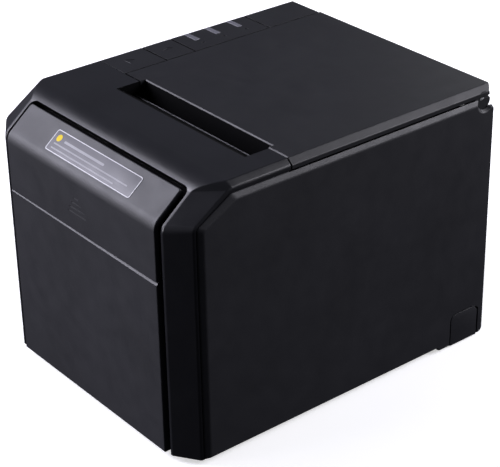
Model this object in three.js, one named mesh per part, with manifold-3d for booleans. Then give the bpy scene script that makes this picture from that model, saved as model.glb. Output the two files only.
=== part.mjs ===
// Desk-top receipt printer for 80 mm paper, with a hinged lid, thermal mechanism and cutter.
// Millimetres. +Z up, front of the printer faces -Y, +X is the right-hand side seen from the
// front, origin at the bottom centre of the bounding box.
import * as THREE from "three";
import { mergeVertices } from "three/addons/utils/BufferGeometryUtils.js";
import Module from "manifold-3d";

const wasm = await Module();
wasm.setup();

// ---------------------------------------------------------------- driving dimensions
const WIDTH = 145;
const DEPTH = 178;
const HEIGHT = 130;
const HALF_WIDTH = WIDTH / 2;
const FRONT = -DEPTH / 2;
const REAR = DEPTH / 2;

const GAP = 0.3;
const WALL = 2.4;
const FOOT_HEIGHT = 2.4;

// casing: the hood and the lid stop short of the outer faces of the side panels
const BODY_HALF = 70.8;
const TOP_BEVEL = 2.8;
const BEVEL_LOW_Z = HEIGHT - 2.6;
const SKIRT_LOW_Z = 125.6;
const SEAM_Y = -29.3;

// front: rim, slope and the two front panels
const SLOPE = THREE.MathUtils.degToRad(39);
const RIM_Y = FRONT + 1.43;
const RIM_HALF = 59.7;
const HOOD_SIDE_Y = FRONT + 8.94;
const WINDOW_HALF = 58.48;
const FACE_HALF = 55.84;
const BEND_Z = 114.4;
const SLOPE_LENGTH = 19.6;
const FACE_THICKNESS = 2.2;
const LEDGE_Z = 87;
const LEDGE_DEPTH = 4;

// paper
const PAPER_CENTRE_X = 10;
const SLOT_HALF = 46.2;
const SLOT_FRONT_Y = -41.95;
const SLOT_REAR_Y = -32.1;
const SLOT_DEPTH = 6.3;
const LIP_Y = -26.05;

// control strip along the left of the top
const STRIP_EDGE_X = -48;
const LID_EDGE_X = -47.4;
const STRIP_ENDS = [SEAM_Y, -4.95, 11.75, 56.95, REAR];
const PIPE_YS = [21.25, 33.75, 47.25];
const PIPE_HALF = 1.4;
const KEY_TRAVEL = 2.6;

// hinge of the lid
const HINGE_Y = 83.2;
const HINGE_Z = 123.5;
const EAR_RADIUS = 4.2;
const PIN_RADIUS = 1.5;
const LID_SWEEP = 9.2;
const REBATE = 0.25;

// mechanism
const PLATEN_Y = -18;
const PLATEN_Z = 108;
const PLATEN_RADIUS = 6;
const SHAFT_RADIUS = 3;
const FRAME_LEFT_X = -38.5;
const FRAME_RIGHT_X = 58.5;
const PLATE = 1.5;
const GEAR_MODULE = 0.8;
const GEAR_X = [-44, -40];
const IDLER_Y = -34;
const IDLER_Z = 96;
const MOTOR_Y = -44.08;
const MOTOR_Z = 82.56;
const LATCH_Y = -19;
const LATCH_Z = 90.5;
const LATCH_ARM_X = [-54, -50];
const LATCH_SHAFT_RADIUS = 2;
const BLADE_Z = 116.5;
const CUTTER_AXIS_X = 15;
const CUTTER_AXIS_Y = -54;

// paper roll bay
const BAY_Y = 28;
const BAY_Z = 78;
const BAY_RADIUS = 42;

// connector bay at the lower rear
const PORT_PLATE_Y = 62;
const PORT_BAY_TOP = 42;

// inner case, its base and what stands in it
const BASE_TOP_Z = 34.3;
const DECK_Z = 98;
const FRAME_FLOOR_Z = 58;
const BOARD_Z = 11.8;
const BOARD_THICKNESS = 1.6;
const BOARD_BOSSES = [[-55, -50], [55, -50], [-55, 50], [55, 50]];
const SCREW_RADIUS = 1.3;

// ---------------------------------------------------------------- materials
function plastic(colour, roughness) {
  return new THREE.MeshStandardMaterial({ color: colour, roughness, metalness: 0 });
}

function metal(colour, roughness) {
  return new THREE.MeshStandardMaterial({ color: colour, roughness, metalness: 0.9 });
}

const blackPlastic = plastic(0x1b1c1f, 0.55);
const satinPlastic = plastic(0x17181b, 0.38);
const innerPlastic = plastic(0x25262a, 0.65);
const blackRubber = plastic(0x141414, 0.85);
const pipePlastic = plastic(0xb9bcc4, 0.3);
const labelFilm = plastic(0x2b2c30, 0.45);
const boardGreen = plastic(0x1d5a35, 0.5);
const wheelGreen = plastic(0x2f8f4e, 0.5);
const gearWhite = plastic(0xe2e0d8, 0.5);
const sheetSteel = metal(0xa9abad, 0.38);
const springSteel = metal(0xb9bbbd, 0.3);
const aluminium = metal(0xc2c5c8, 0.4);
const motorSteel = metal(0x8d8f92, 0.45);
const ceramicDark = plastic(0x5a4a3c, 0.35);

// ---------------------------------------------------------------- solids
const printer = new THREE.Group();

function toSolid(geometry) {
  const bare = geometry.clone();
  bare.deleteAttribute("normal");
  bare.deleteAttribute("uv");
  const merged = mergeVertices(bare, 1e-4);
  const vertProperties = new Float32Array(merged.attributes.position.array);
  const triVerts = new Uint32Array(merged.index.array);
  return new wasm.Manifold(new wasm.Mesh({ numProp: 3, vertProperties, triVerts }));
}

function toGeometry(body) {
  const mesh = body.getMesh();
  const geometry = new THREE.BufferGeometry();
  geometry.setAttribute("position", new THREE.BufferAttribute(mesh.vertProperties, 3));
  geometry.setIndex(new THREE.BufferAttribute(mesh.triVerts, 1));
  geometry.computeVertexNormals();
  return geometry;
}

function addPart(name, body, material) {
  const mesh = new THREE.Mesh(toGeometry(body), material);
  mesh.name = name;
  printer.add(mesh);
}

function join(bodies) {
  return bodies.reduce((whole, body) => whole.add(body));
}

function cut(body, tools) {
  return tools.reduce((rest, tool) => rest.subtract(tool), body);
}

function block(x, y, z) {
  const geometry = new THREE.BoxGeometry(x[1] - x[0], y[1] - y[0], z[1] - z[0]);
  geometry.translate((x[0] + x[1]) / 2, (y[0] + y[1]) / 2, (z[0] + z[1]) / 2);
  return toSolid(geometry);
}

// round bar along one axis; centre is the pair of the other two coordinates, in X, Y, Z order
function rod(axis, radius, span, centre, sides = 24) {
  const geometry = new THREE.CylinderGeometry(radius, radius, span[1] - span[0], sides);
  const middle = (span[0] + span[1]) / 2;
  if (axis === "x") {
    geometry.rotateZ(-Math.PI / 2);
    geometry.translate(middle, centre[0], centre[1]);
  } else if (axis === "y") {
    geometry.translate(centre[0], middle, centre[1]);
  } else {
    geometry.rotateX(Math.PI / 2);
    geometry.translate(centre[0], centre[1], middle);
  }
  return toSolid(geometry);
}

function tubeAlong(axis, outer, inner, span, centre, sides = 24) {
  const bore = rod(axis, inner, [span[0] - 1, span[1] + 1], centre, sides);
  return rod(axis, outer, span, centre, sides).subtract(bore);
}

function outline(points) {
  return new THREE.Shape(points.map((p) => new THREE.Vector2(p[0], p[1])));
}

function extruded(points, length) {
  return new THREE.ExtrudeGeometry(outline(points), { depth: length, bevelEnabled: false });
}

// outline of (y, z) points, extruded along X
function slabX(points, x) {
  const geometry = extruded(points, x[1] - x[0]);
  const turn = new THREE.Matrix4().set(0, 0, 1, x[0], 1, 0, 0, 0, 0, 1, 0, 0, 0, 0, 0, 1);
  geometry.applyMatrix4(turn);
  return toSolid(geometry);
}

// outline of (x, z) points, extruded along Y
function slabY(points, y) {
  const geometry = extruded(points, y[1] - y[0]);
  geometry.rotateX(Math.PI / 2);
  geometry.translate(0, y[1], 0);
  return toSolid(geometry);
}

// outline of (x, y) points, extruded along Z
function slabZ(points, z) {
  const geometry = extruded(points, z[1] - z[0]);
  geometry.translate(0, 0, z[0]);
  return toSolid(geometry);
}

// path of [a, b] corners whose inner corners are rounded by an arc of the given radius
function roundedPath(corners, radii, steps) {
  const path = [corners[0]];
  for (let i = 1; i < corners.length - 1; i += 1) {
    const corner = new THREE.Vector2(...corners[i]);
    const before = new THREE.Vector2(...corners[i - 1]).sub(corner).normalize();
    const after = new THREE.Vector2(...corners[i + 1]).sub(corner).normalize();
    const half = Math.acos(THREE.MathUtils.clamp(before.dot(after), -1, 1)) / 2;
    const reach = radii[i - 1] / Math.tan(half);
    const towards = before.clone().add(after).normalize();
    const centre = corner.clone().addScaledVector(towards, radii[i - 1] / Math.sin(half));
    const start = corner.clone().addScaledVector(before, reach).sub(centre);
    const end = corner.clone().addScaledVector(after, reach).sub(centre);
    const turn = Math.atan2(start.x * end.y - start.y * end.x, start.dot(end));
    for (let k = 0; k <= steps[i - 1]; k += 1) {
      const point = start.clone().rotateAround(new THREE.Vector2(), (turn * k) / steps[i - 1]);
      path.push([centre.x + point.x, centre.y + point.y]);
    }
  }
  path.push(corners[corners.length - 1]);
  return path;
}

function arc(centre, radius, from, to, steps) {
  const points = [];
  for (let k = 0; k <= steps; k += 1) {
    const angle = THREE.MathUtils.degToRad(from + ((to - from) * k) / steps);
    points.push([centre[0] + radius * Math.cos(angle), centre[1] + radius * Math.sin(angle)]);
  }
  return points;
}

// closed body through rings of [x, y, z] points, in order of x, each ring counter-clockwise from +X
function loft(rings) {
  const count = rings[0].length;
  const position = rings.flat(2);
  const index = [];
  for (let i = 0; i < rings.length - 1; i += 1) {
    for (let j = 0; j < count; j += 1) {
      const next = (j + 1) % count;
      const a = i * count + j;
      const b = i * count + next;
      index.push(a, b, b + count, a, b + count, a + count);
    }
  }
  const capStarts = [0, (rings.length - 1) * count];
  rings.filter((ring, i) => i === 0 || i === rings.length - 1).forEach((ring, end) => {
    const flat = ring.map((p) => new THREE.Vector2(p[1], p[2]));
    THREE.ShapeUtils.triangulateShape(flat, []).forEach(([a, b, c]) => {
      const area = (flat[b].x - flat[a].x) * (flat[c].y - flat[a].y)
        - (flat[c].x - flat[a].x) * (flat[b].y - flat[a].y);
      const outward = end === 1 ? area > 0 : area < 0;
      const order = outward ? [a, b, c] : [a, c, b];
      index.push(...order.map((k) => k + capStarts[end]));
    });
  });
  const geometry = new THREE.BufferGeometry();
  geometry.setAttribute("position", new THREE.Float32BufferAttribute(position, 3));
  geometry.setIndex(index);
  return toSolid(geometry);
}

function mirrored(body) {
  return body.mirror([1, 0, 0]);
}

// ---------------------------------------------------------------- hood
// The front of the hood is a flat band between two edge lines on each side: the rim line, and the
// side line further out and further back. The broad bevel runs between them.
function hoodRings(inset, startZ, endY) {
  const slopeRun = (HEIGHT - inset - 113.8) / Math.tan(SLOPE);
  const rimLine = roundedPath([
    [RIM_Y + inset, startZ],
    [RIM_Y + inset, 113.8 - inset * 0.35],
    [RIM_Y + inset + slopeRun - inset * 0.1, HEIGHT - inset],
    [endY, HEIGHT - inset],
  ], [6, 20], [4, 7]);
  const sideLine = roundedPath([
    [HOOD_SIDE_Y + inset * 0.9, startZ],
    [HOOD_SIDE_Y + inset * 0.9, 115.2 - inset * 0.3],
    [-61.45 + inset * 0.4, BEVEL_LOW_Z - inset * 0.9],
    [endY, BEVEL_LOW_Z - inset * 0.9],
  ], [3, 3], [4, 7]);
  const arcStart = 6;
  const arcSteps = 7;
  const rimX = rimLine.map((p, i) => {
    const along = THREE.MathUtils.clamp((i - arcStart) / arcSteps, 0, 1);
    return THREE.MathUtils.lerp(RIM_HALF, BODY_HALF - TOP_BEVEL, along) - inset * 0.55;
  });
  const sideX = BODY_HALF - inset;
  const close = (line, x) => {
    const ring = line.map((p, i) => [typeof x === "number" ? x : x[i], p[0], p[1]]);
    const last = ring[ring.length - 1];
    ring.push([last[0], endY, startZ]);
    return ring.reverse();
  };
  return [
    close(sideLine, -sideX),
    close(rimLine, rimX.map((x) => -x)),
    close(rimLine, rimX),
    close(sideLine, sideX),
  ];
}

function slopeBlock(halfWidth, from, to, below, above) {
  const geometry = new THREE.BoxGeometry(2 * halfWidth, to - from, above + below);
  geometry.translate(0, (from + to) / 2, (above - below) / 2);
  geometry.rotateX(SLOPE);
  geometry.translate(0, FRONT, BEND_Z);
  return toSolid(geometry);
}

function sidePanelLines(inset, besideEar) {
  const top = 125.2 - inset * 1.4;
  const front = -78.65 + inset * 1.4;
  const bottomFront = 2.7 + inset * 0.3;
  const bottomRear = 0.9 + inset * 0.3;
  const rear = REAR - inset * 0.3;
  const scoopRadius = EAR_RADIUS + 0.5 + inset * 0.8;
  const scoopCentre = [HINGE_Y, HINGE_Z];
  const startAngle = 180 + THREE.MathUtils.radToDeg(Math.asin((HINGE_Z - top) / scoopRadius));
  const endCosine = Math.min((rear - HINGE_Y) / scoopRadius, 0.98);
  const endAngle = 360 - THREE.MathUtils.radToDeg(Math.acos(endCosine));
  const frontTop = roundedPath([
    [front, bottomFront],
    [front, 114.8 - inset * 0.6],
    [-61 + inset * 0.9, top],
    [0, top],
  ], [2, 3], [3, 3]);
  const scoop = besideEar
    ? arc(scoopCentre, scoopRadius, startAngle, endAngle, 9)
    : arc([rear - 3, top - 3], 3, 90, 0, 4);
  const rearBottom = roundedPath([
    [rear, scoop[scoop.length - 1][1] - 0.5],
    [rear, bottomRear],
    [60.5, bottomRear],
  ], [2.5], [3]);
  return [...frontTop, ...scoop, ...rearBottom, [59.3, bottomFront]].reverse();
}

function sidePanel(besideEar) {
  const bevel = 1.7;
  const outer = sidePanelLines(0, besideEar);
  const face = sidePanelLines(bevel, besideEar);
  const ring = (line, x) => line.map((p) => [x, p[0], p[1]]);
  const skin = loft([
    ring(outer, BODY_HALF - 0.5),
    ring(outer, BODY_HALF),
    ring(face, HALF_WIDTH),
  ]);
  const bosses = [[-55, 20], [-55, 95], [45, 55], [45, 110]].map((place) => (
    rod("x", 3, [68.3, BODY_HALF - 0.2], place, 16)
  ));
  // a rebate along the top and round the hinge leaves room for the keys and the lid to move
  const rebateX = [BODY_HALF - 5, BODY_HALF + REBATE];
  const rebateTop = SKIRT_LOW_Z + 2;
  const rebates = [
    block(rebateX, [SEAM_Y - 1, REAR + 1], [SKIRT_LOW_Z - KEY_TRAVEL - 0.6, rebateTop]),
    block(rebateX, [HINGE_Y - LID_SWEEP, REAR + 1], [HINGE_Z - LID_SWEEP, rebateTop]),
  ];
  return cut(join([skin, ...bosses]), rebates);
}

// the space a side panel takes, a little larger all round
function panelRecess() {
  return slabX(sidePanelLines(-GAP, false), [BODY_HALF - 0.8, HALF_WIDTH + 5]);
}

function makeHood() {
  const outer = loft(hoodRings(0, FOOT_HEIGHT, SEAM_Y));
  const inner = loft(hoodRings(WALL, -5, SEAM_Y + 20));
  const slotX = [PAPER_CENTRE_X - SLOT_HALF, PAPER_CENTRE_X + SLOT_HALF];
  const slotFloorEnd = SLOT_REAR_Y - GAP;
  const recessWalls = slabX([
    [SLOT_FRONT_Y - 2.2, HEIGHT - 2.2],
    [slotFloorEnd, HEIGHT - SLOT_DEPTH - 2.2],
    [SEAM_Y, HEIGHT - SLOT_DEPTH - 2.2],
    [SEAM_Y, HEIGHT],
    [SLOT_FRONT_Y - 2.2, HEIGHT],
  ], [slotX[0] - 2, slotX[1] + 2]);
  const recess = slabX([
    [SLOT_FRONT_Y, HEIGHT],
    [slotFloorEnd, HEIGHT - SLOT_DEPTH],
    [slotFloorEnd, HEIGHT - SLOT_DEPTH - 9],
    [SEAM_Y + 1, HEIGHT - SLOT_DEPTH - 9],
    [SEAM_Y + 1, HEIGHT + 1],
    [SLOT_FRONT_Y, HEIGHT + 1],
  ], slotX);
  const border = join([
    block([-RIM_HALF, RIM_HALF], [RIM_Y + 0.6, RIM_Y + LEDGE_DEPTH + 1], [FOOT_HEIGHT, 113]),
    slopeBlock(RIM_HALF, -5, SLOPE_LENGTH + 4.5, LEDGE_DEPTH + 3.2, -2),
  ]);
  const innerHalf = WINDOW_HALF - 5.5;
  const windows = [
    block([-WINDOW_HALF, WINDOW_HALF], [FRONT - 5, RIM_Y + LEDGE_DEPTH - 1], [-5, BEND_Z + 1]),
    slopeBlock(WINDOW_HALF, -6, SLOPE_LENGTH + 2.4, LEDGE_DEPTH + 1, 5),
    block([-innerHalf, innerHalf], [FRONT - 5, RIM_Y + LEDGE_DEPTH + 2], [-5, BEND_Z - 2]),
    slopeBlock(innerHalf, -6, SLOPE_LENGTH - 3, LEDGE_DEPTH + 6, 5),
  ];
  const cheeks = block([-80, 80], [-65, 0], [-5, 111]);
  const recessRight = panelRecess();
  const shell = cut(outer, [inner, cheeks, recessRight, mirrored(recessRight)]);
  return cut(join([shell, outer.intersect(border), recessWalls]), [...windows, recess]);
}

function lowerFrontPanel() {
  const panel = block([-FACE_HALF, FACE_HALF], [FRONT, FRONT + FACE_THICKNESS], [2.8, LEDGE_Z]);
  const shelf = block([-52, 52], [FRONT + 0.1, FRONT + 7], [LEDGE_Z - 2, LEDGE_Z]);
  return panel.add(shelf);
}

function cutterCover() {
  const along = (s, down) => [
    FRONT + s * Math.cos(SLOPE) + down * Math.sin(SLOPE),
    BEND_Z + s * Math.sin(SLOPE) - down * Math.cos(SLOPE),
  ];
  const lowZ = LEDGE_Z + 0.6;
  const outerLine = roundedPath([[FRONT, lowZ], [FRONT, BEND_Z], along(SLOPE_LENGTH, 0)], [7], [5]);
  const innerCorner = [FRONT + FACE_THICKNESS, BEND_Z - FACE_THICKNESS * 0.36];
  const innerLine = roundedPath([
    along(SLOPE_LENGTH, FACE_THICKNESS),
    innerCorner,
    [FRONT + FACE_THICKNESS, lowZ],
  ], [4.5], [4]);
  const shell = slabX([...outerLine, ...innerLine].reverse(), [-FACE_HALF, FACE_HALF]);
  // the lower edge rises a little towards the right-hand side, which leaves a finger ledge
  const wedge = slabY([
    [-FACE_HALF - 1, lowZ - 1],
    [FACE_HALF + 1, lowZ - 1],
    [FACE_HALF + 1, lowZ + 1.5],
    [-FACE_HALF - 1, lowZ],
  ], [FRONT - 1, FRONT + 5]);
  return shell.subtract(wedge);
}

function coverLabel() {
  const geometry = new THREE.BoxGeometry(63.4, 10.9, 0.15);
  geometry.translate(2.7, 9.3, 0.42);
  geometry.rotateX(SLOPE);
  geometry.translate(0, FRONT, BEND_Z);
  return toSolid(geometry);
}

// ---------------------------------------------------------------- control strip
function stripSection(depth) {
  return [
    [-BODY_HALF, SKIRT_LOW_Z],
    [-BODY_HALF, BEVEL_LOW_Z],
    [-BODY_HALF + TOP_BEVEL, HEIGHT],
    [STRIP_EDGE_X, HEIGHT],
    [STRIP_EDGE_X, HEIGHT - depth],
    [-BODY_HALF + TOP_BEVEL + 0.9, HEIGHT - depth],
    [-BODY_HALF + depth, BEVEL_LOW_Z - 0.9],
    [-BODY_HALF + depth, SKIRT_LOW_Z],
  ].reverse();
}

function stripPiece(index, depth = 2.2) {
  const from = STRIP_ENDS[index] + GAP / 2;
  const to = STRIP_ENDS[index + 1] - (index === 3 ? 0.4 : GAP / 2);
  return slabY(stripSection(depth), [from, to]);
}

function lightPipeSection(grow) {
  const top = HEIGHT + grow;
  const inner = 1.4 + grow;
  return [
    [-BODY_HALF - grow, 126.2 - grow],
    [-BODY_HALF - grow, BEVEL_LOW_Z + grow * 0.4],
    [-BODY_HALF + TOP_BEVEL - grow * 0.4, top],
    [-58.6 + grow, top],
    [-58.6 + grow, HEIGHT - inner],
    [-BODY_HALF + TOP_BEVEL + 0.5, HEIGHT - inner],
    [-BODY_HALF + inner, BEVEL_LOW_Z - 0.5],
    [-BODY_HALF + inner, 126.2 - grow],
  ].reverse();
}

function makeControlStrip() {
  const openStem = block(LATCH_ARM_X, [-28.4, -26.4], [LATCH_Z + 3.1, HEIGHT - 2]);
  addPart("open_button", stripPiece(0).add(openStem), blackPlastic);
  const feedStem = block([-60, -56], [1, 5], [124.4, HEIGHT - 2]);
  addPart("feed_button", stripPiece(1).add(feedStem), blackPlastic);
  const slotHalf = PIPE_HALF + GAP;
  const slots = PIPE_YS.map((y) => slabY(lightPipeSection(GAP), [y - slotHalf, y + slotHalf]));
  addPart("led_panel", cut(stripPiece(2), slots), blackPlastic);
  addPart("rear_strip_panel", stripPiece(3), blackPlastic);
  PIPE_YS.forEach((y, i) => {
    const pipe = slabY(lightPipeSection(0), [y - PIPE_HALF, y + PIPE_HALF]);
    addPart(`light_pipe_${i + 1}`, pipe, pipePlastic);
  });
  const board = block([-65, -50], [-3, 55], [118, 119.6]);
  const keySwitch = block([-61, -55], [0, 6], [119.5, 123]);
  addPart("control_board", board.add(keySwitch), boardGreen);
}

// ---------------------------------------------------------------- lid
function lidEar(x) {
  const disc = rod("x", EAR_RADIUS, x, [HINGE_Y, HINGE_Z], 28);
  const neck = block(x, [HINGE_Y - 4, HINGE_Y + 4], [HINGE_Z, 127]);
  const boreX = x[0] > 0 ? [x[0] - 1, x[1] - 0.6] : [x[0] + 0.6, x[1] + 1];
  const bore = rod("x", PIN_RADIUS + 0.1, boreX, [HINGE_Y, HINGE_Z], 20);
  return disc.add(neck).subtract(bore);
}

function makeLid() {
  const section = [
    [BODY_HALF, SKIRT_LOW_Z],
    [BODY_HALF, BEVEL_LOW_Z],
    [BODY_HALF - TOP_BEVEL, HEIGHT],
    [LID_EDGE_X, HEIGHT],
    [LID_EDGE_X, SKIRT_LOW_Z],
    [LID_EDGE_X + 2.2, SKIRT_LOW_Z],
    [LID_EDGE_X + 2.2, HEIGHT - WALL],
    [BODY_HALF - TOP_BEVEL - 1, HEIGHT - WALL],
    [BODY_HALF - 2.3, BEVEL_LOW_Z - 1],
    [BODY_HALF - 2.3, SKIRT_LOW_Z],
  ];
  const shell = slabY(section, [SEAM_Y + GAP, REAR]);
  const slotX = [PAPER_CENTRE_X - SLOT_HALF, PAPER_CENTRE_X + SLOT_HALF - 1];
  const notch = block(slotX, [SEAM_Y - 1, LIP_Y], [118, HEIGHT + 1]);
  const frontLip = block([slotX[0] + 0.3, slotX[1] - 0.3], [LIP_Y, LIP_Y + 2], [119, HEIGHT - 1]);
  const rearSkirt = block([-38, 61], [REAR - 2.4, REAR], [116.5, HEIGHT - 1]);
  const ears = [lidEar([BODY_HALF - 2.3, BODY_HALF]), lidEar([LID_EDGE_X, LID_EDGE_X + 2.2])];
  addPart("top_cover", join([shell.subtract(notch), frontLip, rearSkirt, ...ears]), blackPlastic);
}

function makeLidInside() {
  const linerX = [-36.6, 56.6];
  const cheek = 2.4;
  const bushX = [[linerX[0], linerX[0] + cheek], [linerX[1] - cheek, linerX[1]]];
  const platenAxis = [PLATEN_Y, PLATEN_Z];
  const ceilingZ = [125.2, 127.2];
  const guideLow = BLADE_Z - 0.4;
  const cheekLine = [
    [-25, 116.5],
    [-25, 101],
    [-11, 101],
    [-11, 112],
    [-6, 118],
    [-6, ceilingZ[1]],
    [-23.6, ceilingZ[1]],
    [-23.6, 118.2],
  ];
  const cheeks = bushX.map((x) => (
    slabX(cheekLine, x).subtract(rod("x", 5.3, [x[0] - 1, x[1] + 1], platenAxis))
  ));
  const ceiling = block(linerX, [-12, 72], ceilingZ);
  const spanX = [bushX[0][1] - 0.2, bushX[1][0] + 0.2];
  const guideLine = [
    [8, 126],
    [8, 125.3],
    [-4, 121],
    [-9.5, guideLow],
    [-12.5, guideLow],
    [-12.5, 126],
  ];
  const rail = block(spanX, [-16.5, -12], [guideLow, ceilingZ[1]]);
  const liner = join([...cheeks, ceiling, slabX(guideLine.reverse(), spanX), rail]);
  addPart("cover_liner", liner, innerPlastic);
  addPart("fixed_blade", block([-34, 54], [-24.6, -14], [115.3, 116.0]), springSteel);
  ["left", "right"].forEach((side, i) => {
    const bush = tubeAlong("x", 5, SHAFT_RADIUS + 0.1, bushX[i], platenAxis);
    addPart(`platen_bush_${side}`, bush, gearWhite);
  });
}

function makeHingePins() {
  addPart("hinge_pin_right", rod("x", PIN_RADIUS, [62.6, 70], [HINGE_Y, HINGE_Z], 20), springSteel);
  addPart("hinge_pin_left", rod("x", PIN_RADIUS, [-46.6, -39.6], [HINGE_Y, HINGE_Z], 20), springSteel);
}

// ---------------------------------------------------------------- gears
// straight-sided teeth, thinned for backlash, in the YZ plane round [y, z], first tooth at phase degrees
function gearOutline(teeth, centre, phase) {
  const pitchRadius = (GEAR_MODULE * teeth) / 2;
  const root = pitchRadius - 1.2 * GEAR_MODULE;
  const tip = pitchRadius + 0.85 * GEAR_MODULE;
  const step = 360 / teeth;
  const points = [];
  for (let i = 0; i < teeth; i += 1) {
    const middle = phase + i * step;
    [[root, -0.3], [tip, -0.1], [tip, 0.1], [root, 0.3]].forEach(([radius, share]) => {
      points.push(arc(centre, radius, middle + share * step, middle + share * step, 1)[0]);
    });
  }
  return points;
}

// phases that put three gears in mesh: the middle one has a tooth on the line to the first
function gearPhases(first, middle, last) {
  const toFirst = THREE.MathUtils.radToDeg(Math.atan2(first.z - middle.z, first.y - middle.y));
  const toLast = THREE.MathUtils.radToDeg(Math.atan2(last.z - middle.z, last.y - middle.y));
  const middleStep = 360 / middle.teeth;
  const behind = (((toLast - toFirst) % middleStep) + middleStep) % middleStep;
  const lastGap = toLast + 180 + (behind * middle.teeth) / last.teeth;
  return {
    first: toFirst + 180 + 180 / first.teeth,
    middle: toFirst,
    last: lastGap + 180 / last.teeth,
  };
}

function makeFeedDrive() {
  const platen = { teeth: 20, y: PLATEN_Y, z: PLATEN_Z };
  const idler = { teeth: 30, y: IDLER_Y, z: IDLER_Z };
  const pinion = { teeth: 12, y: MOTOR_Y, z: MOTOR_Z };
  const phases = gearPhases(platen, idler, pinion);
  const bores = { platen: SHAFT_RADIUS, idler: 2.1, pinion: 1.6 };
  const wheel = (gear, phase, bore) => {
    const centre = [gear.y, gear.z];
    return slabX(gearOutline(gear.teeth, centre, phase), GEAR_X)
      .subtract(rod("x", bore, [GEAR_X[0] - 1, GEAR_X[1] + 1], centre, 20));
  };
  addPart("platen_gear", wheel(platen, phases.first, bores.platen + 0.05), gearWhite);
  addPart("idler_gear", wheel(idler, phases.middle, bores.idler), gearWhite);
  const motorShaft = rod("x", 1.5, [-44.5, -36.9], [MOTOR_Y, MOTOR_Z], 16);
  const pinionHub = rod("x", 2.6, [GEAR_X[0] + 0.5, -39.4], [MOTOR_Y, MOTOR_Z], 16);
  const pinionBody = slabX(gearOutline(pinion.teeth, [pinion.y, pinion.z], phases.last), GEAR_X);
  addPart("feed_pinion", join([pinionBody, pinionHub, motorShaft]), springSteel);
  const can = rod("x", 17.5, [-36.8, -19], [MOTOR_Y, MOTOR_Z], 36);
  addPart("feed_motor", can.subtract(rod("x", 1.8, [-40, -30], [MOTOR_Y, MOTOR_Z], 16)), motorSteel);
}

function makePlaten() {
  const centre = [PLATEN_Y, PLATEN_Z];
  addPart("platen_shaft", rod("x", SHAFT_RADIUS, [-47.5, 61.5], centre, 28), springSteel);
  const rubber = tubeAlong("x", PLATEN_RADIUS, SHAFT_RADIUS + 0.05, [-31, 51], centre, 32);
  addPart("platen_roller", rubber, blackRubber);
}

// ---------------------------------------------------------------- print mechanism
function frameSide(x) {
  const plate = slabX([[-64, 58], [-10, 58], [-10, 121], [-64, 117]], x);
  const slotWidth = SHAFT_RADIUS + 0.4;
  const slot = slabX([
    [PLATEN_Y - slotWidth, PLATEN_Z],
    [PLATEN_Y + slotWidth, PLATEN_Z],
    [PLATEN_Y + slotWidth, 130],
    [PLATEN_Y - slotWidth - 2, 130],
    [PLATEN_Y - slotWidth - 1.4, 114],
  ], [x[0] - 1, x[1] + 1]);
  const seat = rod("x", slotWidth, [x[0] - 1, x[1] + 1], [PLATEN_Y, PLATEN_Z], 24);
  const latchHole = rod("x", LATCH_SHAFT_RADIUS + 0.3, [x[0] - 1, x[1] + 1], [LATCH_Y, LATCH_Z], 20);
  return cut(plate, [slot, seat, latchHole]);
}

function makeMechanism() {
  const leftX = [FRAME_LEFT_X, FRAME_LEFT_X + PLATE];
  const rightX = [FRAME_RIGHT_X - PLATE, FRAME_RIGHT_X];
  const motorHole = rod("x", 3, [leftX[0] - 1, leftX[1] + 1], [MOTOR_Y, MOTOR_Z], 20);
  const floor = block([leftX[0], rightX[1]], [-64, -26], [58, 59.5]);
  const crossBar = block([leftX[0], rightX[1]], [-40.5, -39], [101.5, 111]);
  const idlerAxle = rod("x", 1.8, [GEAR_X[0] - 0.6, leftX[1]], [IDLER_Y, IDLER_Z], 16);
  const sides = [frameSide(leftX).subtract(motorHole), frameSide(rightX)];
  addPart("mech_frame", join([...sides, floor, crossBar, idlerAxle]), sheetSteel);
  addPart("thermal_head", block([-31, 51], [-26.2, -24.4], [95, 109]), ceramicDark);
  const sinkBody = block([-31, 51], [-31, -26.3], [95, 112.5]);
  const grooves = [99, 103, 107, 111].map((z) => block([-32, 52], [-32, -29], [z - 1, z + 1]));
  addPart("head_heat_sink", cut(sinkBody, grooves), aluminium);
  [["left", -8], ["right", 28]].forEach(([side, x]) => {
    addPart(`head_spring_${side}`, coilSpring(x, 105, [-38.8, -31.2]), springSteel);
  });
}

// compression spring along Y, its wire swept round five turns
function coilSpring(x, z, span) {
  const turns = 5;
  const wire = 0.4;
  const radius = 2.6;
  class Helix extends THREE.Curve {
    getPoint(t) {
      const angle = t * turns * 2 * Math.PI;
      const y = THREE.MathUtils.lerp(span[0] + wire, span[1] - wire, t);
      return new THREE.Vector3(x + radius * Math.cos(angle), y, z + radius * Math.sin(angle));
    }
  }
  const section = outline(arc([0, 0], wire, 0, 300, 5));
  const geometry = new THREE.ExtrudeGeometry(section, { steps: turns * 10, bevelEnabled: false,
    extrudePath: new Helix() });
  return toSolid(geometry);
}

function tearBar() {
  const pitch = 2;
  const count = 46;
  const left = PAPER_CENTRE_X - (count * pitch) / 2;
  const top = HEIGHT - SLOT_DEPTH + 0.5;
  const points = [[left, top - 5], [left + count * pitch, top - 5]];
  for (let i = count; i > 0; i -= 1) {
    points.push([left + i * pitch, top - 1.2], [left + (i - 0.5) * pitch, top]);
  }
  points.push([left, top - 1.2]);
  return slabY(points, [SLOT_REAR_Y, SLOT_REAR_Y + 0.7]);
}

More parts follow.
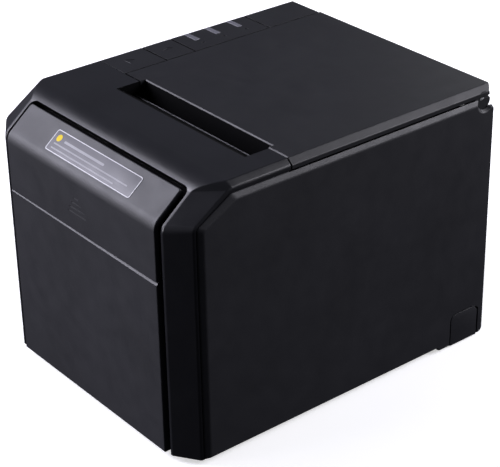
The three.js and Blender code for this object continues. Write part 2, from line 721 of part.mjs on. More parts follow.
// ---------------------------------------------------------------- cutter
function makeCutter() {
  const bladeX = [PAPER_CENTRE_X - 43, PAPER_CENTRE_X + 43];
  const pinionRadius = 6;
  const rackX = CUTTER_AXIS_X - pinionRadius;
  const tail = [[rackX - 12, -36], [rackX - 12, -62], [rackX - 1.2, -62]];
  const pitch = 3.1416;
  for (let i = 0; i < 8; i += 1) {
    const y = CUTTER_AXIS_Y - 7.85 + i * pitch;
    tail.push([rackX - 1.2, y + 0.45], [rackX + 0.8, y + 1.2]);
    tail.push([rackX + 0.8, y + 1.94], [rackX - 1.2, y + 2.7]);
  }
  const edge = [[rackX - 1.2, -36], [bladeX[1], -36], [bladeX[1], -29.2]];
  const dip = [PAPER_CENTRE_X, -32];
  const outlinePoints = [...tail, ...edge, dip, [bladeX[0], -29.2], [bladeX[0], -36]];
  addPart("cutter_blade", slabZ(outlinePoints, [BLADE_Z, BLADE_Z + 0.8]), springSteel);

  const teeth = 12;
  const step = 360 / teeth;
  const wheelPoints = [];
  for (let i = 0; i < teeth; i += 1) {
    const middle = (i + 0.5) * step;
    [[4.8, -0.3], [6.8, -0.1], [6.8, 0.1], [4.8, 0.3]].forEach(([radius, share]) => {
      const angle = middle + share * step;
      wheelPoints.push(arc([CUTTER_AXIS_X, CUTTER_AXIS_Y], radius, angle, angle, 1)[0]);
    });
  }
  const pinion = slabZ(wheelPoints, [BLADE_Z - 0.2, BLADE_Z + 1]);
  const spindle = rod("z", 1.8, [99, BLADE_Z + 1], [CUTTER_AXIS_X, CUTTER_AXIS_Y], 16);
  addPart("cutter_pinion", pinion.add(spindle), springSteel);
  const rim = [];
  const knurls = 24;
  for (let i = 0; i < knurls; i += 1) {
    const angle = (i * 360) / knurls;
    rim.push(arc([CUTTER_AXIS_X, CUTTER_AXIS_Y], 12, angle, angle, 1)[0]);
    rim.push(arc([CUTTER_AXIS_X, CUTTER_AXIS_Y], 11.2, angle + 7.5, angle + 7.5, 1)[0]);
  }
  const wheel = slabZ(rim, [100.5, 105.5])
    .subtract(rod("z", 1.85, [99, 107], [CUTTER_AXIS_X, CUTTER_AXIS_Y], 16));
  addPart("cutter_release_wheel", wheel, wheelGreen);

  const tray = block([-36.4, 56.4], [-63, -31.5], [114.4, 116.2]);
  const spindleHole = rod("z", 2.2, [110, 120], [CUTTER_AXIS_X, CUTTER_AXIS_Y], 20);
  const rails = [[-36.4, -34], [54, 56.4]].map((x) => block(x, [-63, -31.5], [116, 118.4]));
  const skirt = block([-36.4, 56.4], [-63, -61.5], [108, 115]);
  addPart("cutter_frame", join([tray, ...rails, skirt]).subtract(spindleHole), sheetSteel);
  const motorBox = block([32, 50], [-60, -42], [94, 114]);
  addPart("cutter_motor", motorBox.subtract(block([35, 47], [-57, -45], [93, 96])), motorSteel);
}

// ---------------------------------------------------------------- latch
function latchHook(x, withArm) {
  const hubRadius = 4.4;
  const centre = [LATCH_Y, LATCH_Z];
  const hook = slabX([
    [-24.2, 103],
    [-22.5, 89],
    [-17, 89],
    [-17, 95],
    [-21.6, 103],
    [-21.6, 111.4],
    [-17.4, 111.4],
    [-17.4, 114],
    [-24.2, 114],
  ], x);
  const parts = [rod("x", hubRadius, x, centre, 24), hook];
  if (withArm) {
    parts.push(rod("x", hubRadius, [LATCH_ARM_X[0], x[0] + 0.5], centre, 24));
    parts.push(block(LATCH_ARM_X, [-28.6, LATCH_Y], [LATCH_Z - 3, LATCH_Z + 2.4]));
  }
  const bore = rod("x", LATCH_SHAFT_RADIUS + 0.02, [-56, 66], centre, 20);
  return join(parts).subtract(bore);
}

function makeLatch() {
  const shaft = rod("x", LATCH_SHAFT_RADIUS - 0.02, [-55, 62.5], [LATCH_Y, LATCH_Z], 20);
  addPart("latch_shaft", shaft, springSteel);
  addPart("latch_lever_left", latchHook([-47.2, -45.4], true), innerPlastic);
  addPart("latch_hook_right", latchHook([59.6, 61.4], false), innerPlastic);
}

// ---------------------------------------------------------------- inner case
function hingePost(x) {
  const centre = [HINGE_Y, HINGE_Z];
  const half = 3.7;
  const foot = 80;
  const head = rod("x", half, x, centre, 24);
  const post = block(x, [HINGE_Y - half, HINGE_Y + half], [foot, HINGE_Z]);
  const web = block(x, [HINGE_Y - half, REAR - 2.5], [foot, 113]);
  const onRight = x[0] > 0;
  const boreX = onRight ? [x[0] + 0.2, x[1] + 1] : [x[0] - 1, x[1] - 0.2];
  return join([head, post, web]).subtract(rod("x", PIN_RADIUS + 0.1, boreX, centre, 20));
}

function makeCase() {
  const wallX = [66.2, 68];
  const rearY = [REAR - 2.6, REAR - 0.2];
  const rearTop = 114.2;
  const sides = [wallX, [-wallX[1], -wallX[0]]].map((x) => (
    block(x, [-65, REAR - 2.5], [BASE_TOP_Z + 0.3, 122])
  ));
  const rear = block([-70, 70], rearY, [PORT_BAY_TOP, rearTop]);
  // the rear wall reaches up under the fixed control strip, but stops below the lid
  const corner = slabY([
    [-70, rearTop - 1],
    [STRIP_EDGE_X - 0.3, rearTop - 1],
    [STRIP_EDGE_X - 0.3, HEIGHT - 2.5],
    [-66.5, HEIGHT - 2.5],
    [-69, 124.8],
    [-70, 124.8],
  ], rearY);
  const bayRoof = block([-68, 68], [PORT_PLATE_Y + 1.6, REAR - 0.4], [PORT_BAY_TOP, PORT_BAY_TOP + 2]);
  const shelf = block([-67, 67], [-65, -12], [FRAME_FLOOR_Z - 2.1, FRAME_FLOOR_Z - 0.1]);
  const ledges = [[64.2, 67], [-67, -64.2]].map((x) => block(x, [-6, 78], [DECK_Z - 2.1, DECK_Z - 0.1]));
  const posts = [hingePost([62.4, 66.4]), hingePost([-43.2, -39.2])];
  const bracket = block([-67, -39.2], [REAR - 8, REAR - 2.5], [80, 112]);
  const body = join([...sides, ...ledges, rear, corner, bayRoof, shelf, ...posts, bracket]);
  addPart("case_body", body, innerPlastic);
}

function makeBase() {
  const rear = REAR - 0.4;
  const front = -73.5;
  const floor = join([
    block([-67.8, 67.8], [front, rear], [FOOT_HEIGHT, 4.8]),
    block([-52.4, 52.4], [FRONT + FACE_THICKNESS + 0.4, front + 1], [2.8, 4.8]),
  ]);
  const walls = [[65.8, 67.8], [-67.8, -65.8]].map((x) => block(x, [front, rear], [4, BASE_TOP_Z]));
  const frontWall = block([-67.8, 67.8], [front, front + 2], [4, BASE_TOP_Z]);
  const bosses = BOARD_BOSSES.map((place) => (
    tubeAlong("z", 3, SCREW_RADIUS + 0.1, [4.7, BOARD_Z - 0.1], place, 16)
  ));
  const cableExit = block([60, 75], [67.25, 85.15], [4.8, 17.8]);
  addPart("base_tray", join([floor, ...walls, frontWall, ...bosses]).subtract(cableExit), innerPlastic);
}

function makePaperBucket() {
  const wall = 2;
  const x = [PAPER_CENTRE_X - 46, PAPER_CENTRE_X + 46];
  const innerX = [x[0] + wall, x[1] - wall];
  const centre = [BAY_Y, BAY_Z];
  const outerRadius = BAY_RADIUS + wall;
  const top = DECK_Z + wall;
  const drum = rod("x", outerRadius, x, centre, 48);
  const hollow = rod("x", BAY_RADIUS, innerX, centre, 48);
  const upper = block(x, [BAY_Y - outerRadius, BAY_Y + outerRadius], [BAY_Z, top]);
  const upperHollow = block(innerX, [BAY_Y - BAY_RADIUS, BAY_Y + BAY_RADIUS], [BAY_Z, HEIGHT]);
  const above = block([x[0] - 1, x[1] + 1], [BAY_Y - 60, BAY_Y + 60], [top, HEIGHT]);
  const deck = block([-66, 66], [-5, 77], [DECK_Z, top]);
  return cut(join([drum, upper, deck]), [above, hollow, upperHollow]);
}

function makeElectronics() {
  const boardTop = BOARD_Z + BOARD_THICKNESS;
  const board = block([-62, 62], [-58, 60.8], [BOARD_Z, boardTop]);
  const holes = BOARD_BOSSES.map((place) => (
    rod("z", SCREW_RADIUS + 0.4, [BOARD_Z - 1, boardTop + 1], place, 16)
  ));
  addPart("main_board", cut(board, holes), boardGreen);
  addPart("paper_end_sensor", block([-40.6, -36.5], [20, 30], [50, 58]), innerPlastic);
}

// ---------------------------------------------------------------- connectors
const PORT_LOW_Z = 13.8;
const PORTS = [
  { name: "dc_jack", x: -50, width: 14, high: 27, mouth: [8.4, 8.4], round: true, moulded: true },
  { name: "serial_port", x: -22, width: 32, high: 26, mouth: [18, 8.4] },
  { name: "usb_port", x: 4.5, width: 12, high: 25, mouth: [8.4, 7.6] },
  { name: "ethernet_port", x: 24, width: 16, high: 27.5, mouth: [11.8, 8] },
  { name: "drawer_port", x: 44, width: 13.5, high: 26.5, mouth: [10, 7.4], moulded: true },
];
const SWITCH_X = 58;
const SWITCH_Z = 21.9;
const SWITCH_HALF = [5, 8.1];

function makeRearPlate() {
  const throughY = [PORT_PLATE_Y - 1, PORT_PLATE_Y + 2];
  const plate = block([-65.5, 65.5], [PORT_PLATE_Y, PORT_PLATE_Y + 1.2], [5.1, PORT_BAY_TOP - 0.6]);
  const windows = PORTS.map((port) => {
    const half = port.width / 2 + GAP;
    return block([port.x - half, port.x + half], throughY, [PORT_LOW_Z - GAP, port.high + GAP]);
  });
  windows.push(block(
    [SWITCH_X - SWITCH_HALF[0] - GAP, SWITCH_X + SWITCH_HALF[0] + GAP],
    throughY,
    [SWITCH_Z - SWITCH_HALF[1] - GAP, SWITCH_Z + SWITCH_HALF[1] + GAP],
  ));
  addPart("rear_plate", cut(plate, windows), sheetSteel);
}

function makePorts() {
  const mouthY = [PORT_PLATE_Y - 7, PORT_PLATE_Y + 5];
  PORTS.forEach((port) => {
    const bodyX = [port.x - port.width / 2, port.x + port.width / 2];
    const body = block(bodyX, [48, PORT_PLATE_Y + 3], [PORT_LOW_Z, port.high]);
    const middleZ = (PORT_LOW_Z + port.high) / 2;
    const [halfX, halfZ] = port.mouth.map((size) => size / 2);
    const mouth = port.round
      ? rod("y", halfX, mouthY, [port.x, middleZ], 24)
      : block([port.x - halfX, port.x + halfX], mouthY, [middleZ - halfZ, middleZ + halfZ]);
    addPart(port.name, body.subtract(mouth), port.moulded ? innerPlastic : sheetSteel);
  });
}

function makePowerSwitch() {
  const [halfX, halfZ] = SWITCH_HALF;
  const x = [SWITCH_X - halfX, SWITCH_X + halfX];
  const body = block(x, [50, PORT_PLATE_Y + 2.4], [SWITCH_Z - halfZ, SWITCH_Z + halfZ]);
  const well = block([x[0] + 1.4, x[1] - 1.4], [PORT_PLATE_Y - 7, PORT_PLATE_Y + 5],
    [SWITCH_Z - halfZ + 1.8, SWITCH_Z + halfZ - 1.8]);
  addPart("power_switch_frame", body.subtract(well), innerPlastic);
  const tilt = THREE.MathUtils.degToRad(8);
  const section = [[-2.6, -5.4], [0, -5.7], [3.2, -5.2], [2.4, 0], [3.2, 5.2], [0, 5.7], [-2.6, 5.4]];
  const tilted = section.map(([y, z]) => [
    y * Math.cos(tilt) - z * Math.sin(tilt) + PORT_PLATE_Y + 0.6,
    y * Math.sin(tilt) + z * Math.cos(tilt) + SWITCH_Z,
  ]);
  addPart("power_rocker", slabX(tilted, [x[0] + 1.8, x[1] - 1.8]), satinPlastic);
}

// ---------------------------------------------------------------- side cable exit
// door outline of (y, z) points, grown by a clearance
function cableDoorLine(grow, lowZ) {
  const [front, rear, top] = [67.6 - grow, 84.8 + grow, 17.4 + grow];
  return roundedPath([[front, lowZ], [front, top], [rear, top], [rear, lowZ]], [3, 1], [4, 2]).reverse();
}

function cableCover() {
  return slabX(cableDoorLine(0, 0.9), [BODY_HALF - 0.5, HALF_WIDTH - 0.15]);
}

function makeCasing() {
  addPart("front_hood", makeHood(), satinPlastic);
  addPart("lower_front_panel", lowerFrontPanel(), blackPlastic);
  addPart("cutter_cover", cutterCover(), blackPlastic);
  addPart("cover_label", coverLabel(), labelFilm);
  const exitHole = slabX(cableDoorLine(0.35, -1), [BODY_HALF - 3, HALF_WIDTH + 1]);
  addPart("side_panel_right", sidePanel(true).subtract(exitHole), blackPlastic);
  addPart("side_panel_left", mirrored(sidePanel(false)), blackPlastic);
  addPart("cable_cover", cableCover(), blackPlastic);
}

function makeFeet() {
  [[-56, -62], [56, -62], [-56, 72], [56, 72]].forEach((place, i) => {
    addPart(`foot_${i + 1}`, rod("z", 7, [0, FOOT_HEIGHT], place, 28), blackRubber);
  });
}

makeCasing();
makeControlStrip();
makeLid();
makeLidInside();
makeHingePins();
makeFeedDrive();
makePlaten();
makeMechanism();
addPart("tear_bar", tearBar(), springSteel);
makeCutter();
makeLatch();
makeCase();
makeBase();
addPart("paper_bucket", makePaperBucket(), innerPlastic);
makeElectronics();
makeRearPlate();
makePorts();
makePowerSwitch();
makeFeet();

export default printer;
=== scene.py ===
import math

import bmesh
import bpy
from mathutils import Matrix, Vector


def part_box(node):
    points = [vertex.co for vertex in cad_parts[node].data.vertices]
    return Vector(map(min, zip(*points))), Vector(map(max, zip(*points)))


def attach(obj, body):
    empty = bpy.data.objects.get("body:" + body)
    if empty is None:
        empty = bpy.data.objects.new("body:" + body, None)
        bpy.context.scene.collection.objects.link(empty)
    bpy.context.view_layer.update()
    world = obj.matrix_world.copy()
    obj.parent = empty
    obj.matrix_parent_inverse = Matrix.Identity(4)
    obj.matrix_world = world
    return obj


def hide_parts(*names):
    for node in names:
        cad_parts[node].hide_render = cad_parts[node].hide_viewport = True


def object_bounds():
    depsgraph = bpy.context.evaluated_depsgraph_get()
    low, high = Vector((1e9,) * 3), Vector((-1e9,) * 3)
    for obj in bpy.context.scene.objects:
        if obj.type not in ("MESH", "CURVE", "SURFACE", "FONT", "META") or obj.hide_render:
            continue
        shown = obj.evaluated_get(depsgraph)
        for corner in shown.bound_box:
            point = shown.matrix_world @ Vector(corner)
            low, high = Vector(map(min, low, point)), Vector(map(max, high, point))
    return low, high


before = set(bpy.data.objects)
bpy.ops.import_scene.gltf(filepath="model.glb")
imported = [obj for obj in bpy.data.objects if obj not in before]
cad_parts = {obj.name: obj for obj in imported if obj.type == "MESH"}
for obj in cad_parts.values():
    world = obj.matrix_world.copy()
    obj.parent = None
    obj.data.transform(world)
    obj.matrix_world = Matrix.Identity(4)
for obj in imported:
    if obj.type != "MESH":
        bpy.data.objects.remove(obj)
CAD_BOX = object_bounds()
MM = 0.001


def node_box(name):
    """Lowest and highest corner of a CAD node, in millimetres."""
    lo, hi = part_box(name)
    return [v / MM for v in lo], [v / MM for v in hi]


# ------------------------------------------------------------------ camera
PHOTO_AZIMUTH = math.radians(51.64)
PHOTO_ELEVATION = math.radians(28.58)
PHOTO_ROLL = math.radians(-1.05)
CAMERA_PLACE = (0.55347, -0.43351, 0.43893)
FOCAL_TO_WIDTH = 1707.0 / 500.0
SENSOR_WIDTH = 36.0


def make_camera():
    """Camera at the photo's viewing angle, looking along minus back."""
    sa, ca = math.sin(PHOTO_AZIMUTH), math.cos(PHOTO_AZIMUTH)
    se, ce = math.sin(PHOTO_ELEVATION), math.cos(PHOTO_ELEVATION)
    back = Vector((sa * ce, -ca * ce, se))
    right = Vector((ca, sa, 0.0))
    up = back.cross(right)
    sr, cr = math.sin(PHOTO_ROLL), math.cos(PHOTO_ROLL)
    rolled_right = cr * right + sr * up
    rolled_up = -sr * right + cr * up
    data = bpy.data.cameras.new("camera")
    data.sensor_fit = "HORIZONTAL"
    data.sensor_width = SENSOR_WIDTH
    data.lens = FOCAL_TO_WIDTH * SENSOR_WIDTH
    data.clip_start = 0.05
    data.clip_end = 50.0
    camera = bpy.data.objects.new("camera", data)
    turn = Matrix((rolled_right, rolled_up, back)).transposed().to_4x4()
    camera.matrix_world = Matrix.Translation(CAMERA_PLACE) @ turn
    bpy.context.scene.collection.objects.link(camera)
    bpy.context.scene.camera = camera


make_camera()


# ------------------------------------------------------------------ materials
CLOUD_SIZE = 38.0
SMEAR_SIZE = 9.0
SMEAR_ROUGHNESS = 0.035
PLAIN_GRAIN = (0.6, 0.004)
BRUSH_SIZE = 0.35
BRUSH_STRETCH = {"x": (0.04, 1, 1), "y": (1, 0.04, 1), "z": (1, 1, 0.04)}
SCUFF_SIZE = 2.2


def material(name, colour, roughness, metallic=0.0, specular=0.5, grain=PLAIN_GRAIN, speckle=0.0,
             wear=0.0, brushed=None, emission=None, patch=0.12):
    """Procedural finish. grain is (size in mm, bump depth in mm), speckle varies the colour at the
    scale of the grain, patch varies it over centimetres, wear is how much of a lighter scuffed
    colour shows, and brushed is the axis of brushing lines."""
    mat = bpy.data.materials.new(name)
    mat.use_nodes = True
    nodes, links = mat.node_tree.nodes, mat.node_tree.links
    nodes.clear()
    out = nodes.new("ShaderNodeOutputMaterial")
    shader = nodes.new("ShaderNodeBsdfPrincipled")
    links.new(shader.outputs[0], out.inputs[0])
    shader.inputs["Metallic"].default_value = metallic
    shader.inputs["Specular IOR Level"].default_value = specular
    place = nodes.new("ShaderNodeTexCoord")

    def noise(size_mm, detail=2.0, stretch=None):
        tex = nodes.new("ShaderNodeTexNoise")
        tex.inputs["Scale"].default_value = 1.0 / (size_mm * MM)
        tex.inputs["Detail"].default_value = detail
        if stretch:
            scale = nodes.new("ShaderNodeMapping")
            scale.inputs["Scale"].default_value = stretch
            links.new(place.outputs["Object"], scale.inputs[0])
            links.new(scale.outputs[0], tex.inputs["Vector"])
        else:
            links.new(place.outputs["Object"], tex.inputs["Vector"])
        return tex.outputs["Fac"]

    def remap(value, low, high, from_low=0.3, from_high=0.7):
        node = nodes.new("ShaderNodeMapRange")
        node.inputs["From Min"].default_value = from_low
        node.inputs["From Max"].default_value = from_high
        node.inputs["To Min"].default_value = low
        node.inputs["To Max"].default_value = high
        links.new(value, node.inputs["Value"])
        return node.outputs["Result"]

    def mix(kind, a, b, factor=1.0):
        node = nodes.new("ShaderNodeMix")
        node.data_type = "RGBA"
        node.blend_type = kind
        for name, value in (("Factor", factor), ("A", a), ("B", b)):
            if isinstance(value, tuple):
                node.inputs[name].default_value = (*value, 1.0)
            elif isinstance(value, float):
                node.inputs[name].default_value = value
            else:
                links.new(value, node.inputs[name])
        return node.outputs["Result"]

    cloud = remap(noise(CLOUD_SIZE, 3.0), 1.0 - patch, 1.0 + patch)
    shade = mix("MULTIPLY", colour, cloud)
    rough = remap(noise(SMEAR_SIZE, 4.0), roughness - SMEAR_ROUGHNESS, roughness + SMEAR_ROUGHNESS)
    grain_size, grain_depth = grain
    fine = noise(grain_size, 2.0)
    if speckle:
        shade = mix("MULTIPLY", shade, remap(fine, 1.0 - speckle, 1.0 + speckle))
    if brushed:
        lines = noise(BRUSH_SIZE, 3.0, BRUSH_STRETCH[brushed])
        shade = mix("MULTIPLY", shade, remap(lines, 0.82, 1.12))
        rough = remap(lines, roughness - 0.08, roughness + 0.1)
        fine = lines
    if wear:
        scuffed = tuple(min(1.0, c * 2.4 + 0.01) for c in colour)
        shade = mix("MIX", shade, scuffed, remap(noise(SCUFF_SIZE, 6.0), 0.0, wear, 0.62, 0.74))
    links.new(shade, shader.inputs["Base Color"])
    links.new(rough, shader.inputs["Roughness"])
    bump = nodes.new("ShaderNodeBump")
    bump.inputs["Strength"].default_value = 1.0
    bump.inputs["Distance"].default_value = grain_depth * MM
    links.new(fine, bump.inputs["Height"])
    links.new(bump.outputs[0], shader.inputs["Normal"])
    if emission:
        shader.inputs["Emission Color"].default_value = (*emission, 1.0)
        shader.inputs["Emission Strength"].default_value = 1.0
    return mat


MATS = {
    "body": material("body_grain", (0.0185, 0.0188, 0.0225), 0.52, specular=0.45,
                     grain=(0.5, 0.045), speckle=0.12, wear=0.05),
    "lid": material("lid_grain", (0.0108, 0.0111, 0.0138), 0.50, specular=0.45,
                    grain=(0.55, 0.02), patch=0.08, wear=0.06),
    # Body plastic with a finer grain, and a little lighter as a painted highlight on the lit ledge
    # of the lower panel.
    "lit_ledge": material("lit_ledge_grain", (0.021, 0.021, 0.025), 0.50, specular=0.45,
                      grain=(0.55, 0.01), patch=0.05),
    # Near-black, rough finish: painted shade for faces down in grooves, gaps, seams and the paper
    # slot.
    "painted_shade": material("painted_shade_black", (0.0022, 0.0022, 0.0025), 0.85, specular=0.05,
                       grain=(0.5, 0.02), speckle=0.1),
    "satin": material("hood_satin", (0.0125, 0.0127, 0.0153), 0.31, specular=0.45,
                      grain=(0.5, 0.006), speckle=0.06, wear=0.04),
    "inner": material("inner_moulding", (0.030, 0.031, 0.034), 0.6, grain=(0.8, 0.012), wear=0.05),
    "label": material("label_film", (0.062, 0.062, 0.074), 0.46, grain=(1.2, 0.003)),
    "print": material("label_print", (0.55, 0.55, 0.58), 0.4, grain=(0.5, 0.002), patch=0.05),
    "row": material("label_rows", (0.26, 0.26, 0.28), 0.5, grain=(0.5, 0.002), patch=0.05),
    "mark": material("label_mark", (0.78, 0.58, 0.02), 0.6, specular=0.2, grain=(0.5, 0.002),
                     patch=0.05),
    "pipe": material("light_pipe", (0.14, 0.14, 0.16), 0.35, grain=(0.7, 0.004)),
    "gear": material("acetal_white", (0.70, 0.69, 0.64), 0.38, grain=(0.9, 0.006), wear=0.1),
    "wheel": material("release_wheel_green", (0.03, 0.30, 0.09), 0.42, grain=(0.9, 0.006)),
    "board": material("board_mask", (0.014, 0.11, 0.045), 0.32, grain=(1.5, 0.006), speckle=0.1),
    "ceramic": material("ceramic_glaze", (0.10, 0.07, 0.045), 0.25, grain=(1.0, 0.002)),
    "rubber": material("platen_rubber", (0.016, 0.016, 0.0165), 0.78, specular=0.3,
                       grain=(0.35, 0.02), speckle=0.15),
    "sheet": material("zinc_sheet", (0.50, 0.51, 0.52), 0.36, metallic=1.0, grain=(0.9, 0.003),
                      brushed="x"),
    "steel": material("ground_steel", (0.56, 0.57, 0.58), 0.26, metallic=1.0, grain=(0.4, 0.002),
                      brushed="x"),
    "edge": material("tear_edge_steel", (0.125, 0.125, 0.13), 0.44, metallic=1.0,
                     grain=(0.4, 0.002), brushed="x"),
    "motor": material("motor_can", (0.33, 0.34, 0.35), 0.42, metallic=1.0, grain=(0.8, 0.004),
                      brushed="x"),
    "alu": material("heat_sink", (0.60, 0.61, 0.63), 0.4, metallic=1.0, grain=(0.6, 0.004),
                    brushed="x"),
    "floor": material("floor_paper", (0.86, 0.86, 0.86), 0.9, specular=0.1, grain=(2.0, 0.01),
                      patch=0.01, emission=(0.55, 0.55, 0.55)),
}

# Finishes of the CAD nodes that stay. The others are replaced further down.
NODE_FINISH = {
    "satin": ["power_rocker"],
    "inner": ["cover_liner", "latch_lever_left", "latch_hook_right", "case_body", "base_tray",
              "paper_bucket", "paper_end_sensor", "dc_jack", "drawer_port", "power_switch_frame"],
    "gear": ["platen_bush_left", "platen_bush_right", "platen_gear", "idler_gear"],
    "wheel": ["cutter_release_wheel"],
    "board": ["control_board", "main_board"],
    "ceramic": ["thermal_head"],
    "rubber": ["platen_roller", "foot_1", "foot_2", "foot_3", "foot_4"],
    "sheet": ["mech_frame", "cutter_frame", "rear_plate", "serial_port", "usb_port",
              "ethernet_port"],
    "steel": ["fixed_blade", "hinge_pin_right", "hinge_pin_left", "feed_pinion", "platen_shaft",
              "head_spring_left", "head_spring_right", "cutter_blade", "cutter_pinion",
              "latch_shaft"],
    "motor": ["feed_motor", "cutter_motor"],
    "alu": ["head_heat_sink"],
}

# Width in millimetres of the rounding on the edges of CAD nodes.
NODE_EDGES = {
    0.15: ["mech_frame", "cutter_frame"],
    0.3: ["cover_liner", "case_body", "paper_bucket", "thermal_head", "dc_jack", "serial_port",
          "usb_port", "ethernet_port", "drawer_port", "power_rocker"],
    0.4: ["base_tray", "power_switch_frame"],
    0.6: ["cutter_motor"],
}
SAME_PLANE = math.radians(0.6)


def weigh_normals(obj):
    """Shades flats flat, and blends only over the edges between them."""
    normals = obj.modifiers.new("normals", "WEIGHTED_NORMAL")
    normals.weight = 100
    normals.keep_sharp = True


def add_bevel(obj, width_mm, angle, segments):
    bevel = obj.modifiers.new("edges", "BEVEL")
    bevel.limit_method = "ANGLE"
    bevel.angle_limit = math.radians(angle)
    bevel.width = width_mm * MM
    bevel.segments = segments
    bevel.use_clamp_overlap = True
    bevel.miter_outer = "MITER_ARC"
    return bevel


def finish_cad_nodes():
    """Gives the CAD nodes that stay their materials and softened edges, as modifiers only."""
    for finish, names in NODE_FINISH.items():
        for name in names:
            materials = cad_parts[name].data.materials
            materials.clear()
            materials.append(MATS[finish])
    for width, names in NODE_EDGES.items():
        for name in names:
            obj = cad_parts[name]
            planar = obj.modifiers.new("planar", "DECIMATE")
            planar.decimate_type = "DISSOLVE"
            planar.angle_limit = SAME_PLANE
            add_bevel(obj, width, 32, 2)
            weigh_normals(obj)


# ------------------------------------------------------------------ mesh helpers (millimetres)
def ring_faces(bm, rings):
    """Joins each ring of vertices to the next with four-sided faces."""
    for a, b in zip(rings, rings[1:]):
        for i in range(len(a)):
            j = (i + 1) % len(a)
            bm.faces.new((a[i], a[j], b[j], b[i]))


def loft(rings):
    """Closed body through rings of points, capped at both ends."""
    bm = bmesh.new()
    made = [[bm.verts.new(p) for p in ring] for ring in rings]
    ring_faces(bm, made)
    bm.faces.new(list(reversed(made[0])))
    bm.faces.new(made[-1])
    bmesh.ops.recalc_face_normals(bm, faces=bm.faces)
    return bm


def prism(points, axis, span):
    """Outline of two coordinates, in X, Y, Z order without the axis, extruded along the axis."""
    places = {
        "x": lambda a, b, t: (t, a, b),
        "y": lambda a, b, t: (a, t, b),
        "z": lambda a, b, t: (a, b, t),
    }
    return loft([[places[axis](a, b, t) for a, b in points] for t in span])


def block(x, y, z):
    """Box between two places on each axis."""
    return prism([(x[0], y[0]), (x[1], y[0]), (x[1], y[1]), (x[0], y[1])], "z", z)


def arc(centre, radius, start, end, steps):
    """Points round a centre, from one angle in degrees to another."""
    points = []
    for k in range(steps + 1):
        angle = math.radians(start + (end - start) * k / steps)
        points.append((centre[0] + radius * math.cos(angle), centre[1] + radius * math.sin(angle)))
    return points


def rounded(corners, radii, steps=6, closed=True):
    """Path through corners, each rounded with its own radius."""
    count = len(corners)
    path = []
    for i in range(count):
        corner = Vector(corners[i])
        radius = radii[i]
        if radius <= 0 or (not closed and i in (0, count - 1)):
            path.append(tuple(corner))
            continue
        before = (Vector(corners[i - 1]) - corner).normalized()
        after = (Vector(corners[(i + 1) % count]) - corner).normalized()
        half = math.acos(max(-1.0, min(1.0, before.dot(after)))) / 2
        centre = corner + (before + after).normalized() * (radius / math.sin(half))
        start = corner + before * (radius / math.tan(half)) - centre
        end = corner + after * (radius / math.tan(half)) - centre
        turn = math.atan2(start.x * end.y - start.y * end.x, start.dot(end))
        for k in range(steps + 1):
            point = centre + Matrix.Rotation(turn * k / steps, 2) @ start
            path.append((point.x, point.y))
    return path


def inset_path(points, distance):
    """Closed counter-clockwise path moved inwards by distance."""
    count = len(points)
    moved = []
    for i in range(count):
        a, b, c = (Vector(points[(i + k) % count]) for k in (-1, 0, 1))
        d1, d2 = (b - a).normalized(), (c - b).normalized()
        n1, n2 = Vector((-d1.y, d1.x)), Vector((-d2.y, d2.x))
        bisector = n1 + n2
        scale = distance * 2 / bisector.length_squared
        moved.append(tuple(b + bisector * scale))
    return moved


def pillow(outline, depth, radius, steps=3):
    """Flat body with outline (u, v), its front face at w = 0 and its front edge rounded."""
    rings = [[(u, v, -depth) for u, v in outline]]
    for k in range(steps + 1):
        angle = math.radians(90 * k / steps)
        inset = radius * (1 - math.cos(angle))
        w = -radius * (1 - math.sin(angle))
        path = inset_path(outline, inset) if inset else outline
        rings.append([(u, v, w) for u, v in path])
    return loft(rings)


def move_points(bm, change):
    """Puts each point (u, v, w) of a bmesh where change says."""
    for vert in bm.verts:
        vert.co = Vector(change(*vert.co))
    return bm


def slice_across(bm, places):
    """Cuts the faces at each height v, so that they can be folded there."""
    for place in places:
        geometry = list(bm.verts) + list(bm.edges) + list(bm.faces)
        bmesh.ops.bisect_plane(bm, geom=geometry, dist=1e-5, plane_co=(0, place, 0),
                               plane_no=(0, 1, 0))


def to_object(bm, name, mat=None, smooth_angle=40.0):
    """Object made from a bmesh in millimetres, which is freed."""
    for vert in bm.verts:
        vert.co *= MM
    bmesh.ops.recalc_face_normals(bm, faces=bm.faces)
    mesh = bpy.data.meshes.new(name)
    bm.to_mesh(mesh)
    bm.free()
    obj = bpy.data.objects.new(name, mesh)
    bpy.context.scene.collection.objects.link(obj)
    if mat:
        mesh.materials.append(MATS[mat])
    mesh.shade_smooth()
    mesh.set_sharp_from_angle(angle=math.radians(smooth_angle))
    return obj


CREASE = math.radians(38)
FLAT_ANGLE = math.radians(0.3)
DOUBLE_DISTANCE = 2e-6


def carve(obj, tools, operation="DIFFERENCE"):
    """Cuts each tool, a bmesh in millimetres, out of the object, or joins it on."""
    for bm in tools:
        tool = to_object(bm, "tool")
        mod = obj.modifiers.new("carve", "BOOLEAN")
        mod.operation = operation
        mod.solver = "EXACT"
        mod.object = tool
        graph = bpy.context.evaluated_depsgraph_get()
        mesh = bpy.data.meshes.new_from_object(obj.evaluated_get(graph))
        obj.modifiers.clear()
        old = obj.data
        obj.data = mesh
        bpy.data.meshes.remove(old)
        tool_mesh = tool.data
        bpy.data.objects.remove(tool)
        bpy.data.meshes.remove(tool_mesh)
    clean(obj)
    obj.data.set_sharp_from_angle(angle=CREASE)


def clean(obj):
    """Joins doubled points, and drops the edges inside flat areas that the cuts leave."""
    bm = bmesh.new()
    bm.from_mesh(obj.data)
    bmesh.ops.remove_doubles(bm, verts=bm.verts, dist=DOUBLE_DISTANCE)
    bmesh.ops.dissolve_limit(bm, angle_limit=FLAT_ANGLE, verts=bm.verts, edges=bm.edges)
    bmesh.ops.recalc_face_normals(bm, faces=bm.faces)
    bm.to_mesh(obj.data)
    bm.free()


def edge_round(obj, width_mm, angle, segments):
    """Rounds every edge sharper than angle, and keeps the flats between them flat."""
    mesh = obj.data
    if "sharp_edge" in mesh.attributes:
        mesh.attributes.remove(mesh.attributes["sharp_edge"])
    mesh.shade_smooth()
    add_bevel(obj, width_mm, angle, segments).material = 0
    weigh_normals(obj)


